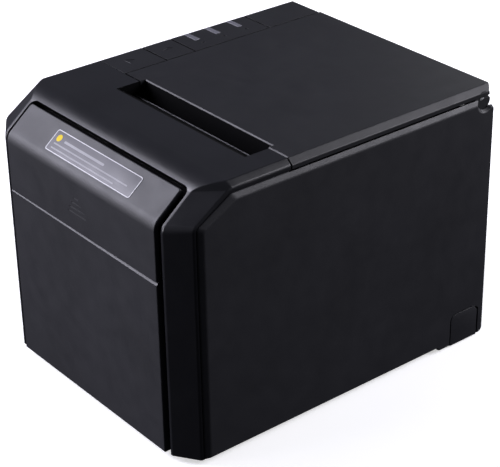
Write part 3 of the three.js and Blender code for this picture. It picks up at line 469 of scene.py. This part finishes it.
def place_piece(obj, body, slot, *replaced):
    """Says which body a piece moves with and what it stands for. The slot, where its finish is
    from, is not used.
    """
    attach(obj, body)
    if replaced:
        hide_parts(*replaced)


# ------------------------------------------------------------------ shared dimensions (mm)
BOX_LO, BOX_HI = [v / MM for v in CAD_BOX[0]], [v / MM for v in CAD_BOX[1]]
HALF_WIDTH = BOX_HI[0]
FRONT = BOX_LO[1]
REAR = BOX_HI[1]
HEIGHT = BOX_HI[2]

# How far tools reach past the printer.
ACROSS = (-80, 80)
BELOW = -5
ABOVE = HEIGHT + 1

# The top and the bevel along its sides.
BODY_HALF = 70.8
BEVEL = 2.8
BEVEL_LOW_Z = HEIGHT - 2.6
SKIRT_LOW_Z = 125.6
SEAM_Y = -29.3
TOP_FOLD = 0.9
KEYS_RIGHT = -48.0

# The hood: its rim, its sloped front, and the window for the front panels.
SLOPE = math.radians(39.0)
RIM_Y = FRONT + 1.43
RIM_HALF = 59.7
RIM_DEPTH = -1.37
HOOD_SIDE_Y = FRONT + 8.94
HOOD_BEND_Z = 113.8
SHOULDER_LOW_Z = 115.2
SHOULDER_HIGH_Y = -61.45
WINDOW_HALF = 58.48
WINDOW_CORNER = 3.8
BEND_Z = 114.4
SLOPE_LENGTH = 18.5
GROOVE = 2.4
GROOVE_DEPTH = 6.0
FOOT_HEIGHT = 2.4

# The panels in the window.
FACE_HALF = 55.84
COVER_CORNER = 1.2
COVER_BEND_RADIUS = 7.0
PANEL_ROUND = 0.55
LEDGE = (0.6, 1.45)
MARK_X = -1.5
MARK_BARS = ((1.2, 103.9), (2.9, 101.3), (4.8, 98.8), (6.2, 96.4))

# The paper slot, shared by the hood and the lid.
SLOT_X = (-36.2, 56.2)
SLOT_FRONT_Y = -41.95
SLOT_REAR_Y = -32.1
SLOT_DEPTH = 6.3
LIP_Y = -26.05
LIP_CHAMFER = 0.5

# The lid and its hinge, as (y, z).
LID_LEFT = -47.4
LID_GAP = 0.75
LID_WALL = 2.3
HINGE = (83.2, 123.5)
PIN_RADIUS = 1.6
EAR_RADIUS = 4.4
SCOOP_END = 318.0
LID_SWEEP = 9.2


# ------------------------------------------------------------------ hood
HOOD_STEPS = 10


def hood_lines(inset):
    """Outlines (y, z) of the hood along its rim and along its sides, without the back."""
    run = (HEIGHT - HOOD_BEND_Z) / math.tan(SLOPE)
    rim = rounded([
        (RIM_Y + inset, 0.0),
        (RIM_Y + inset, HOOD_BEND_Z - inset * 0.35),
        (RIM_Y + run + inset * 0.35, HEIGHT - inset),
        (SEAM_Y, HEIGHT - inset),
    ], [0, 6, 20, 0], steps=HOOD_STEPS, closed=False)
    side = rounded([
        (HOOD_SIDE_Y + inset * 0.9, 0.0),
        (HOOD_SIDE_Y + inset * 0.9, SHOULDER_LOW_Z - inset * 0.3),
        (SHOULDER_HIGH_Y + inset * 0.4, BEVEL_LOW_Z - inset * 0.9),
        (SEAM_Y, BEVEL_LOW_Z - inset * 0.9),
    ], [0, 3.5, 5, 0], steps=HOOD_STEPS, closed=False)
    return rim, side


def hood_body(inset, low_z, end_y, fold_rounds=()):
    """The hood as a solid, smaller by inset. Its rim widens to the body along the upper bend."""
    rim, side = hood_lines(inset)
    rim_x = []
    for i in range(len(rim)):
        along = max(0.0, min(1.0, (i - HOOD_STEPS - 2) / HOOD_STEPS))
        eased = along * along * (3 - 2 * along) * 0.4 + along * 0.6
        rim_x.append(RIM_HALF + (BODY_HALF - BEVEL - RIM_HALF) * eased - inset * 0.55)

    def ring(line, xs):
        points = []
        for i, (y, z) in enumerate(line):
            points.append((xs[i], y if y < SEAM_Y else end_y, z if z > 0 else low_z))
        points.append((xs[-1], end_y, low_z))
        return points

    side_x = [BODY_HALF - inset] * len(side)
    bm = loft([
        ring(side, [-x for x in side_x]),
        ring(rim, [-x for x in rim_x]),
        ring(rim, rim_x),
        ring(side, side_x),
    ])
    count = len(side) + 1
    bm.verts.ensure_lookup_table()
    rows = [list(bm.verts)[row * count:row * count + len(side)] for row in range(4)]
    folds = [[bm.edges.get(pair) for pair in zip(row, row[1:])] for row in rows]
    for fold, radius in zip(folds, fold_rounds):
        bmesh.ops.bevel(bm, geom=fold, offset=radius, segments=4, affect="EDGES", profile=0.5,
                        clamp_overlap=True)
    return bm


def slope_frame(bm):
    """Turns a body made on (x, s up the slope, height above it) into place."""
    turn = Matrix.Rotation(SLOPE, 4, "X")
    return move_points(bm, lambda x, s, h: (turn @ Vector((x, s, h))) + Vector((0, FRONT, BEND_Z)))


def slope_outline(half, low, high, corner):
    return rounded([(-half, low), (half, low), (half, high), (-half, high)],
                   [0, 0, corner, corner], steps=6)


def slope_place(point):
    """The point, in millimetres, as (s up the slope, height above it)."""
    y, z = point.y - FRONT, point.z - BEND_Z
    return (y * math.cos(SLOPE) + z * math.sin(SLOPE), z * math.cos(SLOPE) - y * math.sin(SLOPE))


def in_shaded_recess(point):
    """Whether a point of the hood lies down in the groove round the panels, or in the slot, where
    the faces get painted shade.
    """
    if SLOT_X[0] - 0.1 < point.x < SLOT_X[1] + 0.1 and point.y > SLOT_FRONT_Y - 0.1:
        return point.z < HEIGHT - 2.5
    if abs(point.x) > WINDOW_HALF + 0.02 or point.y > -60:
        return False
    s, height = slope_place(point)
    if s > 0:
        return height < RIM_DEPTH - 0.5 and s < SLOPE_LENGTH + GROOVE + 0.1
    return point.y > RIM_Y + 0.3


def on_rim(point):
    """Whether a point lies on the sides of the window, above the groove."""
    return (WINDOW_HALF - 0.1 < abs(point.x) < RIM_HALF + 0.1 and point.y < RIM_Y + 18
            and slope_place(point)[1] > RIM_DEPTH - 0.3)


def assign_faces(obj, mat, test):
    """Gives the faces whose centres, in millimetres, pass the test a material of their own."""
    obj.data.materials.append(MATS[mat])
    number = len(obj.data.materials) - 1
    for face in obj.data.polygons:
        if test(face.center / MM):
            face.material_index = number


def make_hood():
    """Hollow front shell, open below, with the window for the panels and half the paper slot."""
    slot_back = SLOT_REAR_Y - 0.3
    slot_floor = HEIGHT - SLOT_DEPTH
    wall = 2.2
    border = 1.5
    folds = (0.9, 0.4, 0.4, 0.9)
    hood = to_object(hood_body(0.0, FOOT_HEIGHT, SEAM_Y, folds), "hood_shell", "satin")
    carve(hood, [hood_body(2.4, BELOW, SEAM_Y + 20)])
    cheeks = block(ACROSS, (-65, 0), (BELOW, 111))
    carve(hood, [cheeks])
    for x in (BODY_HALF - 0.8, -HALF_WIDTH - 5):
        line = side_outline(-0.3, False)
        carve(hood, [prism(line, "x", (x, x + HALF_WIDTH + 5 - BODY_HALF + 0.8))])

    slot_wall = prism([
        (SLOT_FRONT_Y - wall, HEIGHT - 1.0),
        (SLOT_FRONT_Y - wall, HEIGHT - wall),
        (slot_back, slot_floor - wall),
        (slot_back, slot_floor - 0.4),
        (SEAM_Y, slot_floor - 0.4),
        (SEAM_Y, HEIGHT - 1.0),
    ], "x", (SLOT_X[0] - 2, SLOT_X[1] + 2))
    border_low = prism([
        (-RIM_HALF, RIM_Y + 1.0), (RIM_HALF, RIM_Y + 1.0),
        (RIM_HALF, RIM_Y + GROOVE_DEPTH + border), (-RIM_HALF, RIM_Y + GROOVE_DEPTH + border),
    ], "z", (FOOT_HEIGHT, 112.5))
    border_slope = slope_frame(prism(
        slope_outline(RIM_HALF, 1.2, SLOPE_LENGTH + 4.5, 3), "z", (-GROOVE_DEPTH - 3.2, -2.4)))
    carve(hood, [border_low, border_slope, slot_wall], "UNION")

    inner_half = WINDOW_HALF - 5.5
    carve(hood, [
        block((-WINDOW_HALF, WINDOW_HALF), (FRONT - 5, RIM_Y + GROOVE_DEPTH - 1), (BELOW, BEND_Z)),
        slope_frame(prism(slope_outline(WINDOW_HALF, -5, SLOPE_LENGTH + GROOVE, WINDOW_CORNER),
                          "z", (-GROOVE_DEPTH - 1, 5))),
        block((-inner_half, inner_half), (FRONT - 5, RIM_Y + GROOVE_DEPTH + 2.2),
              (BELOW, BEND_Z - 2)),
        slope_frame(prism(slope_outline(inner_half, -6, SLOPE_LENGTH - 3, 1),
                          "z", (-GROOVE_DEPTH - 6, 5))),
        prism([
            (SLOT_FRONT_Y, HEIGHT + 0.01), (SLOT_FRONT_Y, HEIGHT), (slot_back, slot_floor),
            (slot_back, slot_floor - 9), (SEAM_Y + 1, slot_floor - 9),
            (SEAM_Y + 1, ABOVE), (SLOT_FRONT_Y, ABOVE),
        ], "x", SLOT_X),
    ])
    # Painted shade: faces in the groove, in the slot and at the seam get the near-black material.
    assign_faces(hood, "painted_shade", lambda c: in_shaded_recess(c) or c.y > SEAM_Y - 0.02)
    assign_faces(hood, "body", on_rim)
    edge_round(hood, 0.3, angle=33, segments=2)
    place_piece(hood, "chassis", "satin_plastic", "front_hood")


# ------------------------------------------------------------------ side panels
def side_outline(inset, beside_ear):
    """Outline (y, z) of a side panel. The upper rear corner is plain, or scooped out round the
    lid's ear."""
    top = 125.2 - inset * 1.4
    front = -78.65 + inset * 1.4
    bottom_front = 2.7 + inset * 0.3
    bottom_rear = 0.9 + inset * 0.3
    rear = REAR - inset * 0.3
    front_top = rounded([
        (front, bottom_front),
        (front, 114.8 - inset * 0.6),
        (-61 + inset * 0.9, top),
        (0, top),
    ], [0, 2.4, 4, 0], steps=8, closed=False)
    if beside_ear:
        radius = EAR_RADIUS - 0.6 + inset * 0.8
        start = 180 + math.degrees(math.asin((HINGE[1] - top) / radius))
        upper_rear = arc(HINGE, radius, start, SCOOP_END, 22)
    else:
        upper_rear = arc((rear - 3, top - 3), 3, 90, 10, 22)
    last_y, last_z = upper_rear[-1]
    corner = max(0.1, min(1.2, (rear - last_y) * 0.6))
    rear_bottom = rounded([
        (last_y + 0.02, last_z - 0.02),
        (rear, last_z - 0.3),
        (rear, bottom_rear),
        (60.5, bottom_rear),
    ], [0, corner, 2.5, 0], steps=6, closed=False)
    line = front_top + upper_rear + rear_bottom + [(59.3, bottom_front)]
    line.reverse()
    return line


# Inset and x from the back of a side panel to its face, with both folds rounded.
SIDE_LEVELS = (
    (0.0, 70.3), (0.0, 70.75), (0.12, 70.98), (0.36, 71.3), (1.30, 72.15), (1.55, 72.33),
    (1.85, 72.44), (2.25, HALF_WIDTH),
)
CABLE_GAP = 0.75
CABLE_SUNK = 0.12


def side_rebates(side):
    """Room along a panel's top for the keys, and round the hinge for the lid's swing."""
    x = sorted((side * (BODY_HALF - 5), side * (BODY_HALF + 0.25)))
    top = SKIRT_LOW_Z + 2
    return [
        block(x, (SEAM_Y - 1, REAR + 1), (SKIRT_LOW_Z - 3.2, top)),
        block(x, (HINGE[0] - LID_SWEEP, REAR + 1), (HINGE[1] - LID_SWEEP, top)),
    ]


def cable_outline(grow=0.0):
    """Outline (y, z) of the cable cover, or of the opening for it where grow is the gap."""
    lo, hi = node_box("cable_cover")
    front, rear, top = lo[1] - grow, hi[1] + grow, hi[2] + grow
    low = lo[2] - 3 * (grow > 0)
    return rounded([
        (front, low), (rear, low), (rear, hi[2] - 2.4 + grow), (hi[1] - 2.8, top), (front, top),
    ], [0, 0, 1.0, 1.2, 3 + grow], steps=5)


def make_side_panels():
    """Both sides lofted from one outline. The right one has the cable cover."""
    for side, name in ((1, "right"), (-1, "left")):
        rings = [
            [(side * x, y, z) for y, z in side_outline(inset, side > 0)]
            for inset, x in SIDE_LEVELS
        ]
        panel = to_object(loft(rings), f"side_skin_{name}", "body", smooth_angle=45)
        if side > 0:
            carve(panel, [prism(cable_outline(CABLE_GAP), "x", (60, 80))])
        carve(panel, side_rebates(side))
        if side > 0:
            edge_round(panel, 0.25, angle=50, segments=2)
        else:
            weigh_normals(panel)
        place_piece(panel, "chassis", "black_plastic", f"side_panel_{name}")
    flap = pillow(cable_outline(), 1.8, CABLE_SUNK)
    move_points(flap, lambda u, v, w: (HALF_WIDTH - CABLE_SUNK + w, u, v))
    place_piece(to_object(flap, "cable_flap", "body"), "chassis", "black_plastic", "cable_cover")


# ------------------------------------------------------------------ front panels
def bend_map(radius):
    """A function that folds (u, v, w), v being the height on the face, over the bend and up the
    slope, with the heights v where the bend starts and ends and where the slope ends."""
    turn = math.pi / 2 - SLOPE
    reach = radius * math.tan(turn / 2)
    start = BEND_Z - reach
    centre_y, centre_z = FRONT + radius, start
    length = radius * turn

    def fold(u, v, w):
        if v <= start:
            return (u, FRONT - w, v)
        angle = min(v - start, length) / radius
        past = max(0.0, v - start - length)
        r = radius + w
        return (u, centre_y - r * math.cos(angle) + past * math.cos(SLOPE),
                centre_z + r * math.sin(angle) + past * math.sin(SLOPE))

    return fold, start, start + length, start + length + SLOPE_LENGTH - reach


def make_lower_panel(top):
    """Lower front panel. A 45 degree cut along its top edge gets deeper to the right, and the cut
    and the top face get a slightly lighter finish as a painted highlight.
    """
    low = node_box("lower_front_panel")[0][2]
    panel = pillow([(-FACE_HALF, low), (FACE_HALF, low), (FACE_HALF, top + 1),
                    (-FACE_HALF, top + 1)], 5.0, PANEL_ROUND)
    move_points(panel, lambda u, v, w: (u, FRONT - w, v))
    panel = to_object(panel, "lower_face", "body")
    rings = []
    for x, drop in ((-FACE_HALF - 1, LEDGE[0]), (FACE_HALF + 1, LEDGE[1])):
        section = [(FRONT - 1, top - drop - 1), (FRONT + drop, top), (FRONT + 8, top),
                   (FRONT + 8, top + 4), (FRONT - 1, top + 4)]
        rings.append([(x, y, z) for y, z in section])
    carve(panel, [loft(rings)])
    # The slightly lighter ledge finish on the cut and the top face is a painted highlight.
    assign_faces(panel, "lit_ledge", lambda c: c.z > top - LEDGE[1] and c.y > FRONT + 0.02)
    weigh_normals(panel)
    place_piece(panel, "chassis", "black_plastic", "lower_front_panel")


def make_cutter_cover(low):
    """Cover folded over the front's upper edge, with an arrow of sunk bars on its face."""
    fold, bend_from, bend_to, end = bend_map(COVER_BEND_RADIUS)
    outline = rounded([
        (-FACE_HALF, low - 1), (FACE_HALF, low - 1), (FACE_HALF, end), (-FACE_HALF, end),
    ], [0.4, 0.4, COVER_CORNER, COVER_CORNER], steps=5)
    cover = pillow(outline, 2.2, PANEL_ROUND)
    steps = 12
    slice_across(cover, [bend_from + (bend_to - bend_from) * k / steps for k in range(steps + 1)])
    move_points(cover, fold)
    cover = to_object(cover, "cutter_hatch", "body")
    tools = []
    for half, z in MARK_BARS:
        section = [(FRONT - 1, z), (FRONT + 0.32, z), (FRONT, z - 0.9), (FRONT - 1, z - 0.9)]
        tools.append(prism(section, "x", (MARK_X - half - 0.5, MARK_X + half + 0.5)))
    tools.append(block(ACROSS, (FRONT - 1, FRONT + 8), (low - 3, low)))
    carve(cover, tools)
    weigh_normals(cover)
    place_piece(cover, "cutter_access", "black_plastic", "cutter_cover")


def make_front_panels():
    top = node_box("lower_front_panel")[1][2] + 0.5
    make_lower_panel(top)
    make_cutter_cover(top + 0.12)


# ------------------------------------------------------------------ label
LABEL_S = (3.85, 14.75)
LABEL_THICK = 0.14
PRINT_TOP = 0.165


def label_rectangle(inset, corner):
    lo, hi = node_box("cover_label")
    x0, x1 = lo[0] + inset, hi[0] - inset
    s0, s1 = LABEL_S[0] + inset, LABEL_S[1] - inset
    return rounded([(x0, s0), (x1, s0), (x1, s1), (x0, s1)], [corner] * 4)


def place_print(bm, name, mat):
    place_piece(to_object(slope_frame(bm), name, mat), "cutter_access", "label_film")


def printed_shape(outline, name, mat):
    shape = pillow(outline, 0.05, 0.01, steps=1)
    place_print(move_points(shape, lambda u, v, w: (u, v, w + 0.17)), name, mat)


def make_label():
    """Film on the cover's slope, printed with an outline, a dot and three plain bars."""
    film = move_points(pillow(label_rectangle(0.0, 1.2), 0.13, 0.04),
                       lambda u, v, w: (u, v, w + LABEL_THICK))
    film = to_object(slope_frame(film), "hatch_label", "label")
    place_piece(film, "cutter_access", "label_film", "cover_label")

    outer, inner = label_rectangle(0.15, 1.2), label_rectangle(0.5, 0.9)
    outline = bmesh.new()
    rings = []
    for path, height in ((outer, LABEL_THICK), (outer, PRINT_TOP), (inner, PRINT_TOP),
                         (inner, LABEL_THICK)):
        rings.append([outline.verts.new((u, v, height)) for u, v in path])
    ring_faces(outline, rings + [rings[0]])
    place_print(outline, "label_outline", "print")

    left = node_box("cover_label")[0][0]
    top = LABEL_S[1]
    printed_shape(arc((left + 4.2, top - 3.6), 1.7, 0, 342, 19), "label_dot", "mark")
    bars = ((left + 8.5, 30.0, top - 4.0, 0.55), (left + 3.0, 55.0, top - 6.6, 0.32),
            (left + 3.0, 47.0, top - 8.8, 0.32))
    for number, (start, length, s, half) in enumerate(bars, 1):
        corners = [(start, s - half), (start + length, s - half), (start + length, s + half),
                   (start, s + half)]
        printed_shape(rounded(corners, [half * 0.9] * 4, steps=3), f"label_row_{number}", "row")


# ------------------------------------------------------------------ control strip
# CAD node: body, name, symbol, and the x and y of the stem under it.
STRIP_PIECES = {
    "open_button": ("open_key", "open_key_cap", "open", ((-54, -50), (-28.4, -26.4))),
    "feed_button": ("feed_key", "feed_key_cap", "feed", ((-60, -56), (1, 5))),
    "led_panel": ("chassis", "indicator_panel", None, None),
    "rear_strip_panel": ("chassis", "strip_rear", None, None),
}
STRIP_GAP = 0.27
STRIP_WALL = 2.2
SYMBOL_X = -58.5
SYMBOL_DEPTH = 0.25
LIGHTS = (1, 2, 3)
LIGHT_GAP = 0.22
LIGHT_RIGHT = -58.6
LIGHT_LOW_Z = 126.2


def top_section(side, end_x):
    """Upper side (x, z) of a top panel's section, from its skirt over the bevel to end_x."""
    return rounded([
        (side * BODY_HALF, SKIRT_LOW_Z), (side * BODY_HALF, BEVEL_LOW_Z),
        (side * (BODY_HALF - BEVEL), HEIGHT), (end_x, HEIGHT),
    ], [0, TOP_FOLD, TOP_FOLD, 0], steps=5, closed=False)


def strip_section():
    return top_section(-1, KEYS_RIGHT) + [
        (KEYS_RIGHT, HEIGHT - STRIP_WALL), (-BODY_HALF + BEVEL + 0.9, HEIGHT - STRIP_WALL),
        (-BODY_HALF + STRIP_WALL, BEVEL_LOW_Z - 0.9), (-BODY_HALF + STRIP_WALL, SKIRT_LOW_Z),
    ]


def symbol_tools(kind, y):
    """Tools for a shallow generic symbol: a triangle over a bar, an arrow, or a dot."""
    x = SYMBOL_X
    if kind == "open":
        outlines = [
            [(x - 2.6, y - 2.2), (x + 2.6, y - 2.2), (x, y + 1.2)],
            [(x - 2.6, y - 3.6), (x + 2.6, y - 3.6), (x + 2.6, y - 2.9), (x - 2.6, y - 2.9)],
        ]
    elif kind == "feed":
        outlines = [
            [(x - 0.5, y - 2.6), (x + 0.5, y - 2.6), (x + 0.5, y + 0.4), (x - 0.5, y + 0.4)],
            [(x - 2.0, y + 0.6), (x + 2.0, y + 0.6), (x, y + 2.8)],
        ]
    else:
        outlines = [arc((x + 4.6, y), 0.9, 0, 330, 11)]
    return [prism(outline, "z", (HEIGHT - SYMBOL_DEPTH, ABOVE)) for outline in outlines]


def light_pipe(number, grow=0.0):
    """Light pipe that runs over the bevel, or the room for it where grow is the gap."""
    lo, hi = node_box(f"light_pipe_{number}")
    top = HEIGHT + grow * 3
    wall = 1.4 + grow
    return prism([
        (-BODY_HALF - grow * 3, LIGHT_LOW_Z - grow),
        (-BODY_HALF - grow * 3, BEVEL_LOW_Z + grow * 1.2),
        (-BODY_HALF + BEVEL - grow * 1.2, top),
        (LIGHT_RIGHT + grow, top),
        (LIGHT_RIGHT + grow, HEIGHT - wall),
        (-BODY_HALF + BEVEL + 0.5, HEIGHT - wall),
        (-BODY_HALF + wall, BEVEL_LOW_Z - 0.5),
        (-BODY_HALF + wall, LIGHT_LOW_Z - grow),
    ], "y", (lo[1] - grow, hi[1] + grow))


def light_tools():
    """Room for each light pipe, and a dot beside it."""
    tools = []
    for number in LIGHTS:
        lo, hi = node_box(f"light_pipe_{number}")
        tools.append(light_pipe(number, LIGHT_GAP))
        tools += symbol_tools("dot", (lo[1] + hi[1]) / 2)
    return tools


def make_strip():
    """Two keys, the light panel and a blank panel along the left of the top."""
    for node, (body, name, symbol, stem) in STRIP_PIECES.items():
        lo, hi = node_box(node)
        span = (lo[1] + STRIP_GAP, hi[1] - STRIP_GAP)
        piece = to_object(prism(strip_section(), "y", span), name, "lid")
        if node == "led_panel":
            carve(piece, light_tools())
        if symbol:
            carve(piece, symbol_tools(symbol, (lo[1] + hi[1]) / 2))
        if stem:
            carve(piece, [block(*stem, (lo[2], HEIGHT - 2))], "UNION")
        flat = (lo[1] + 0.35, hi[1] - 0.35)
        # Painted shade: the faces at each piece's ends and at its right edge, in the gaps beside
        # the other pieces and the lid, get the near-black material.
        assign_faces(piece, "painted_shade",
                     lambda c: not flat[0] < c.y < flat[1] or c.x > KEYS_RIGHT - 0.05)
        edge_round(piece, 0.06, angle=40, segments=2)
        place_piece(piece, body, "black_plastic", node)
    for number in LIGHTS:
        piece = to_object(light_pipe(number), f"indicator_lens_{number}", "pipe")
        edge_round(piece, 0.2, angle=40, segments=2)
        place_piece(piece, "chassis", "pipe_plastic", f"light_pipe_{number}")


# ------------------------------------------------------------------ lid
def lid_section():
    wall = 2.2
    return top_section(1, LID_LEFT) + [
        (LID_LEFT, SKIRT_LOW_Z), (LID_LEFT + wall, SKIRT_LOW_Z), (LID_LEFT + wall, HEIGHT - 2.4),
        (BODY_HALF - BEVEL - 1, HEIGHT - 2.4), (BODY_HALF - LID_WALL, BEVEL_LOW_Z - 1),
        (BODY_HALF - LID_WALL, SKIRT_LOW_Z),
    ]


def chamfer_tool(y, x):
    """Cuts the upper edge of a face that looks forward."""
    return prism([(y - 1, ABOVE), (y - 1, HEIGHT - LIP_CHAMFER - 1), (y + LIP_CHAMFER + 1, ABOVE)],
                 "x", x)


def rear_corner_tool():
    """Rounds the lid's rear right corner, seen from above."""
    radius = 4
    x, y = BODY_HALF - radius, REAR - radius
    outline = [(BODY_HALF + 5, y), (BODY_HALF + 5, REAR + 5), (x, REAR + 5)]
    return prism(outline + arc((x, y), radius, 90, 0, 8), "z", (110, HEIGHT + 2))


def add_ears(lid):
    """Joins the round hinge ears on at both sides, and sinks a hole for the pin in each."""
    for x in ((BODY_HALF - LID_WALL, BODY_HALF - 0.1), (LID_LEFT, LID_LEFT + 2.2)):
        disc = prism(arc(HINGE, EAR_RADIUS, 0, 348.75, 31), "x", x)
        neck = block(x, (HINGE[0] - 4, HINGE[0] + 4), (HINGE[1], 127))
        carve(lid, [disc, neck], "UNION")
        sunk = (x[0] - 1, x[1] - 0.6) if x[0] > 0 else (x[0] + 0.6, x[1] + 1)
        carve(lid, [prism(arc(HINGE, PIN_RADIUS, 0, 345, 23), "x", sunk)])


def make_lid():
    """Top cover that turns on its ears, with the other half of the paper slot."""
    front = SEAM_Y + LID_GAP
    left, right = SLOT_X[0], SLOT_X[1] - 1
    lid = to_object(prism(lid_section(), "y", (front, REAR)), "lid_shell", "lid")
    carve(lid, [block((left, right), (SEAM_Y - 1, LIP_Y), (118, ABOVE))])
    carve(lid, [rear_corner_tool()])
    carve(lid, [
        block((left + 0.3, right - 0.3), (LIP_Y, LIP_Y + 2), (119, HEIGHT - 1)),
        block((-38, 61), (REAR - 2.4, REAR), (116.5, HEIGHT - 1)),
    ], "UNION")
    carve(lid, [chamfer_tool(LIP_Y, (left - 0.01, right + 0.01))])
    carve(lid, [chamfer_tool(front, (right, BODY_HALF - BEVEL - 0.4))])
    add_ears(lid)
    ear_slot = block((BODY_HALF - 1.0, BODY_HALF + 1), (HINGE[0] - 7, REAR + 1),
                     (SKIRT_LOW_Z - 1.3, SKIRT_LOW_Z))
    carve(lid, [ear_slot])

    def in_shade(c):
        in_slot = left - 0.1 < c.x < right + 0.1 and c.y < LIP_Y + 0.1 and c.z < HEIGHT - 1.4
        return in_slot or c.x < LID_LEFT + 0.05 or c.y < front + 0.02

    # Painted shade: the slot's lip face, the lid's left end and its front edge at the seam get the
    # near-black material.
    assign_faces(lid, "painted_shade", in_shade)
    edge_round(lid, 0.2, angle=35, segments=3)
    place_piece(lid, "lid", "black_plastic", "top_cover")


# ------------------------------------------------------------------ tear bar
TOOTH_PITCH = 1.0
TOOTH_DEPTH = 0.35


def make_tear_bar():
    """Steel strip whose top is ground to an edge and cut into teeth."""
    lo, hi = node_box("tear_bar")
    front, back = lo[1] + 0.2, hi[1] - 0.2
    top = hi[2]
    bar = to_object(prism([
        (front, lo[2]), (back, lo[2]), (back, top), (back - 0.1, top), (front, top - 0.4),
    ], "x", (lo[0], hi[0])), "tear_edge", "edge")
    cuts = []
    for k in range(round((hi[0] - lo[0]) / TOOTH_PITCH)):
        x = lo[0] + (k + 0.5) * TOOTH_PITCH
        half = TOOTH_PITCH * 0.3
        cuts += [(x - half, top + 0.1), (x, top - TOOTH_DEPTH), (x + half, top + 0.1)]
    cuts += [(hi[0], top + 1), (lo[0], top + 1)]
    carve(bar, [prism(cuts, "y", (lo[1] - 3, hi[1] + 1))])
    weigh_normals(bar)
    place_piece(bar, "chassis", "spring_steel", "tear_bar")


# ------------------------------------------------------------------ stage (metres)
FLOOR_HALF = 6
SKY_LOW = (0.012, 0.012, 0.014, 1)
SKY_HIGH = (0.085, 0.088, 0.104, 1)
WHITE = (1, 1, 1)
COOL = (0.98, 0.965, 1.05)
MIDDLE = Vector((0.0, 0.0, 0.08))
HINGE_AIM = Vector((0.02, 0.06, 0.13))
# Direction from the middle, distance, target, width and height, watts and colour.
LAMPS = {
    "key": ((-0.69, -0.53, 0.49), 1.35, MIDDLE, (0.7, 0.95), 24.0, (0.95, 0.935, 1.08)),
    "front": ((-0.40, -0.90, 0.10), 1.6, MIDDLE, (0.6, 0.6), 10.0, COOL),
    "right": ((0.50, 0.77, 0.42), 1.1, MIDDLE, (0.6, 0.48), 11.0, COOL),
    "back": ((-0.35, 0.88, 0.26), 0.85, HINGE_AIM, (0.4, 0.3), 0.7, WHITE),
}


def make_floor():
    """Pale floor that the camera sees, and that neither lights nor shows in the printer."""
    side = FLOOR_HALF / MM
    bm = bmesh.new()
    bm.faces.new([bm.verts.new((x, y, 0)) for x, y in ((-side, -side), (side, -side),
                                                       (side, side), (-side, side))])
    floor = to_object(bm, "floor", "floor")
    floor.location.z = -0.0002
    floor.visible_glossy = False
    floor.visible_diffuse = False


def make_sky():
    """World that is dark below the horizon and pale grey above it."""
    world = bpy.data.worlds.new("studio")
    world.use_nodes = True
    nodes, links = world.node_tree.nodes, world.node_tree.links
    background = nodes["Background"]
    place = nodes.new("ShaderNodeTexCoord")
    split = nodes.new("ShaderNodeSeparateXYZ")
    height = nodes.new("ShaderNodeMapRange")
    height.inputs["From Min"].default_value = -1.0
    height.inputs["From Max"].default_value = 1.0
    ramp = nodes.new("ShaderNodeValToRGB")
    stops = ramp.color_ramp.elements
    for stop, position, colour in ((stops[0], 0.44, SKY_LOW), (stops[1], 0.56, SKY_HIGH)):
        stop.position = position
        stop.color = colour
    links.new(place.outputs["Generated"], split.inputs[0])
    links.new(split.outputs["Z"], height.inputs["Value"])
    links.new(height.outputs["Result"], ramp.inputs[0])
    links.new(ramp.outputs[0], background.inputs["Color"])
    background.inputs["Strength"].default_value = 1.0
    bpy.context.scene.world = world


def make_lamps():
    """Large soft lamps round the printer."""
    for name, (direction, distance, target, size, watts, colour) in LAMPS.items():
        data = bpy.data.lights.new(name, "AREA")
        data.shape = "RECTANGLE"
        data.size, data.size_y = size
        data.energy = watts
        data.color = colour
        place = MIDDLE + Vector(direction).normalized() * distance
        aim = (target - place).to_track_quat("-Z", "Y").to_matrix().to_4x4()
        lamp = bpy.data.objects.new(name, data)
        lamp.matrix_world = Matrix.Translation(place) @ aim
        bpy.context.scene.collection.objects.link(lamp)


finish_cad_nodes()
make_hood()
make_side_panels()
make_front_panels()
make_label()
make_strip()
make_lid()
make_tear_bar()
make_floor()
make_sky()
make_lamps()
bpy.context.scene.view_settings.view_transform = "Standard"
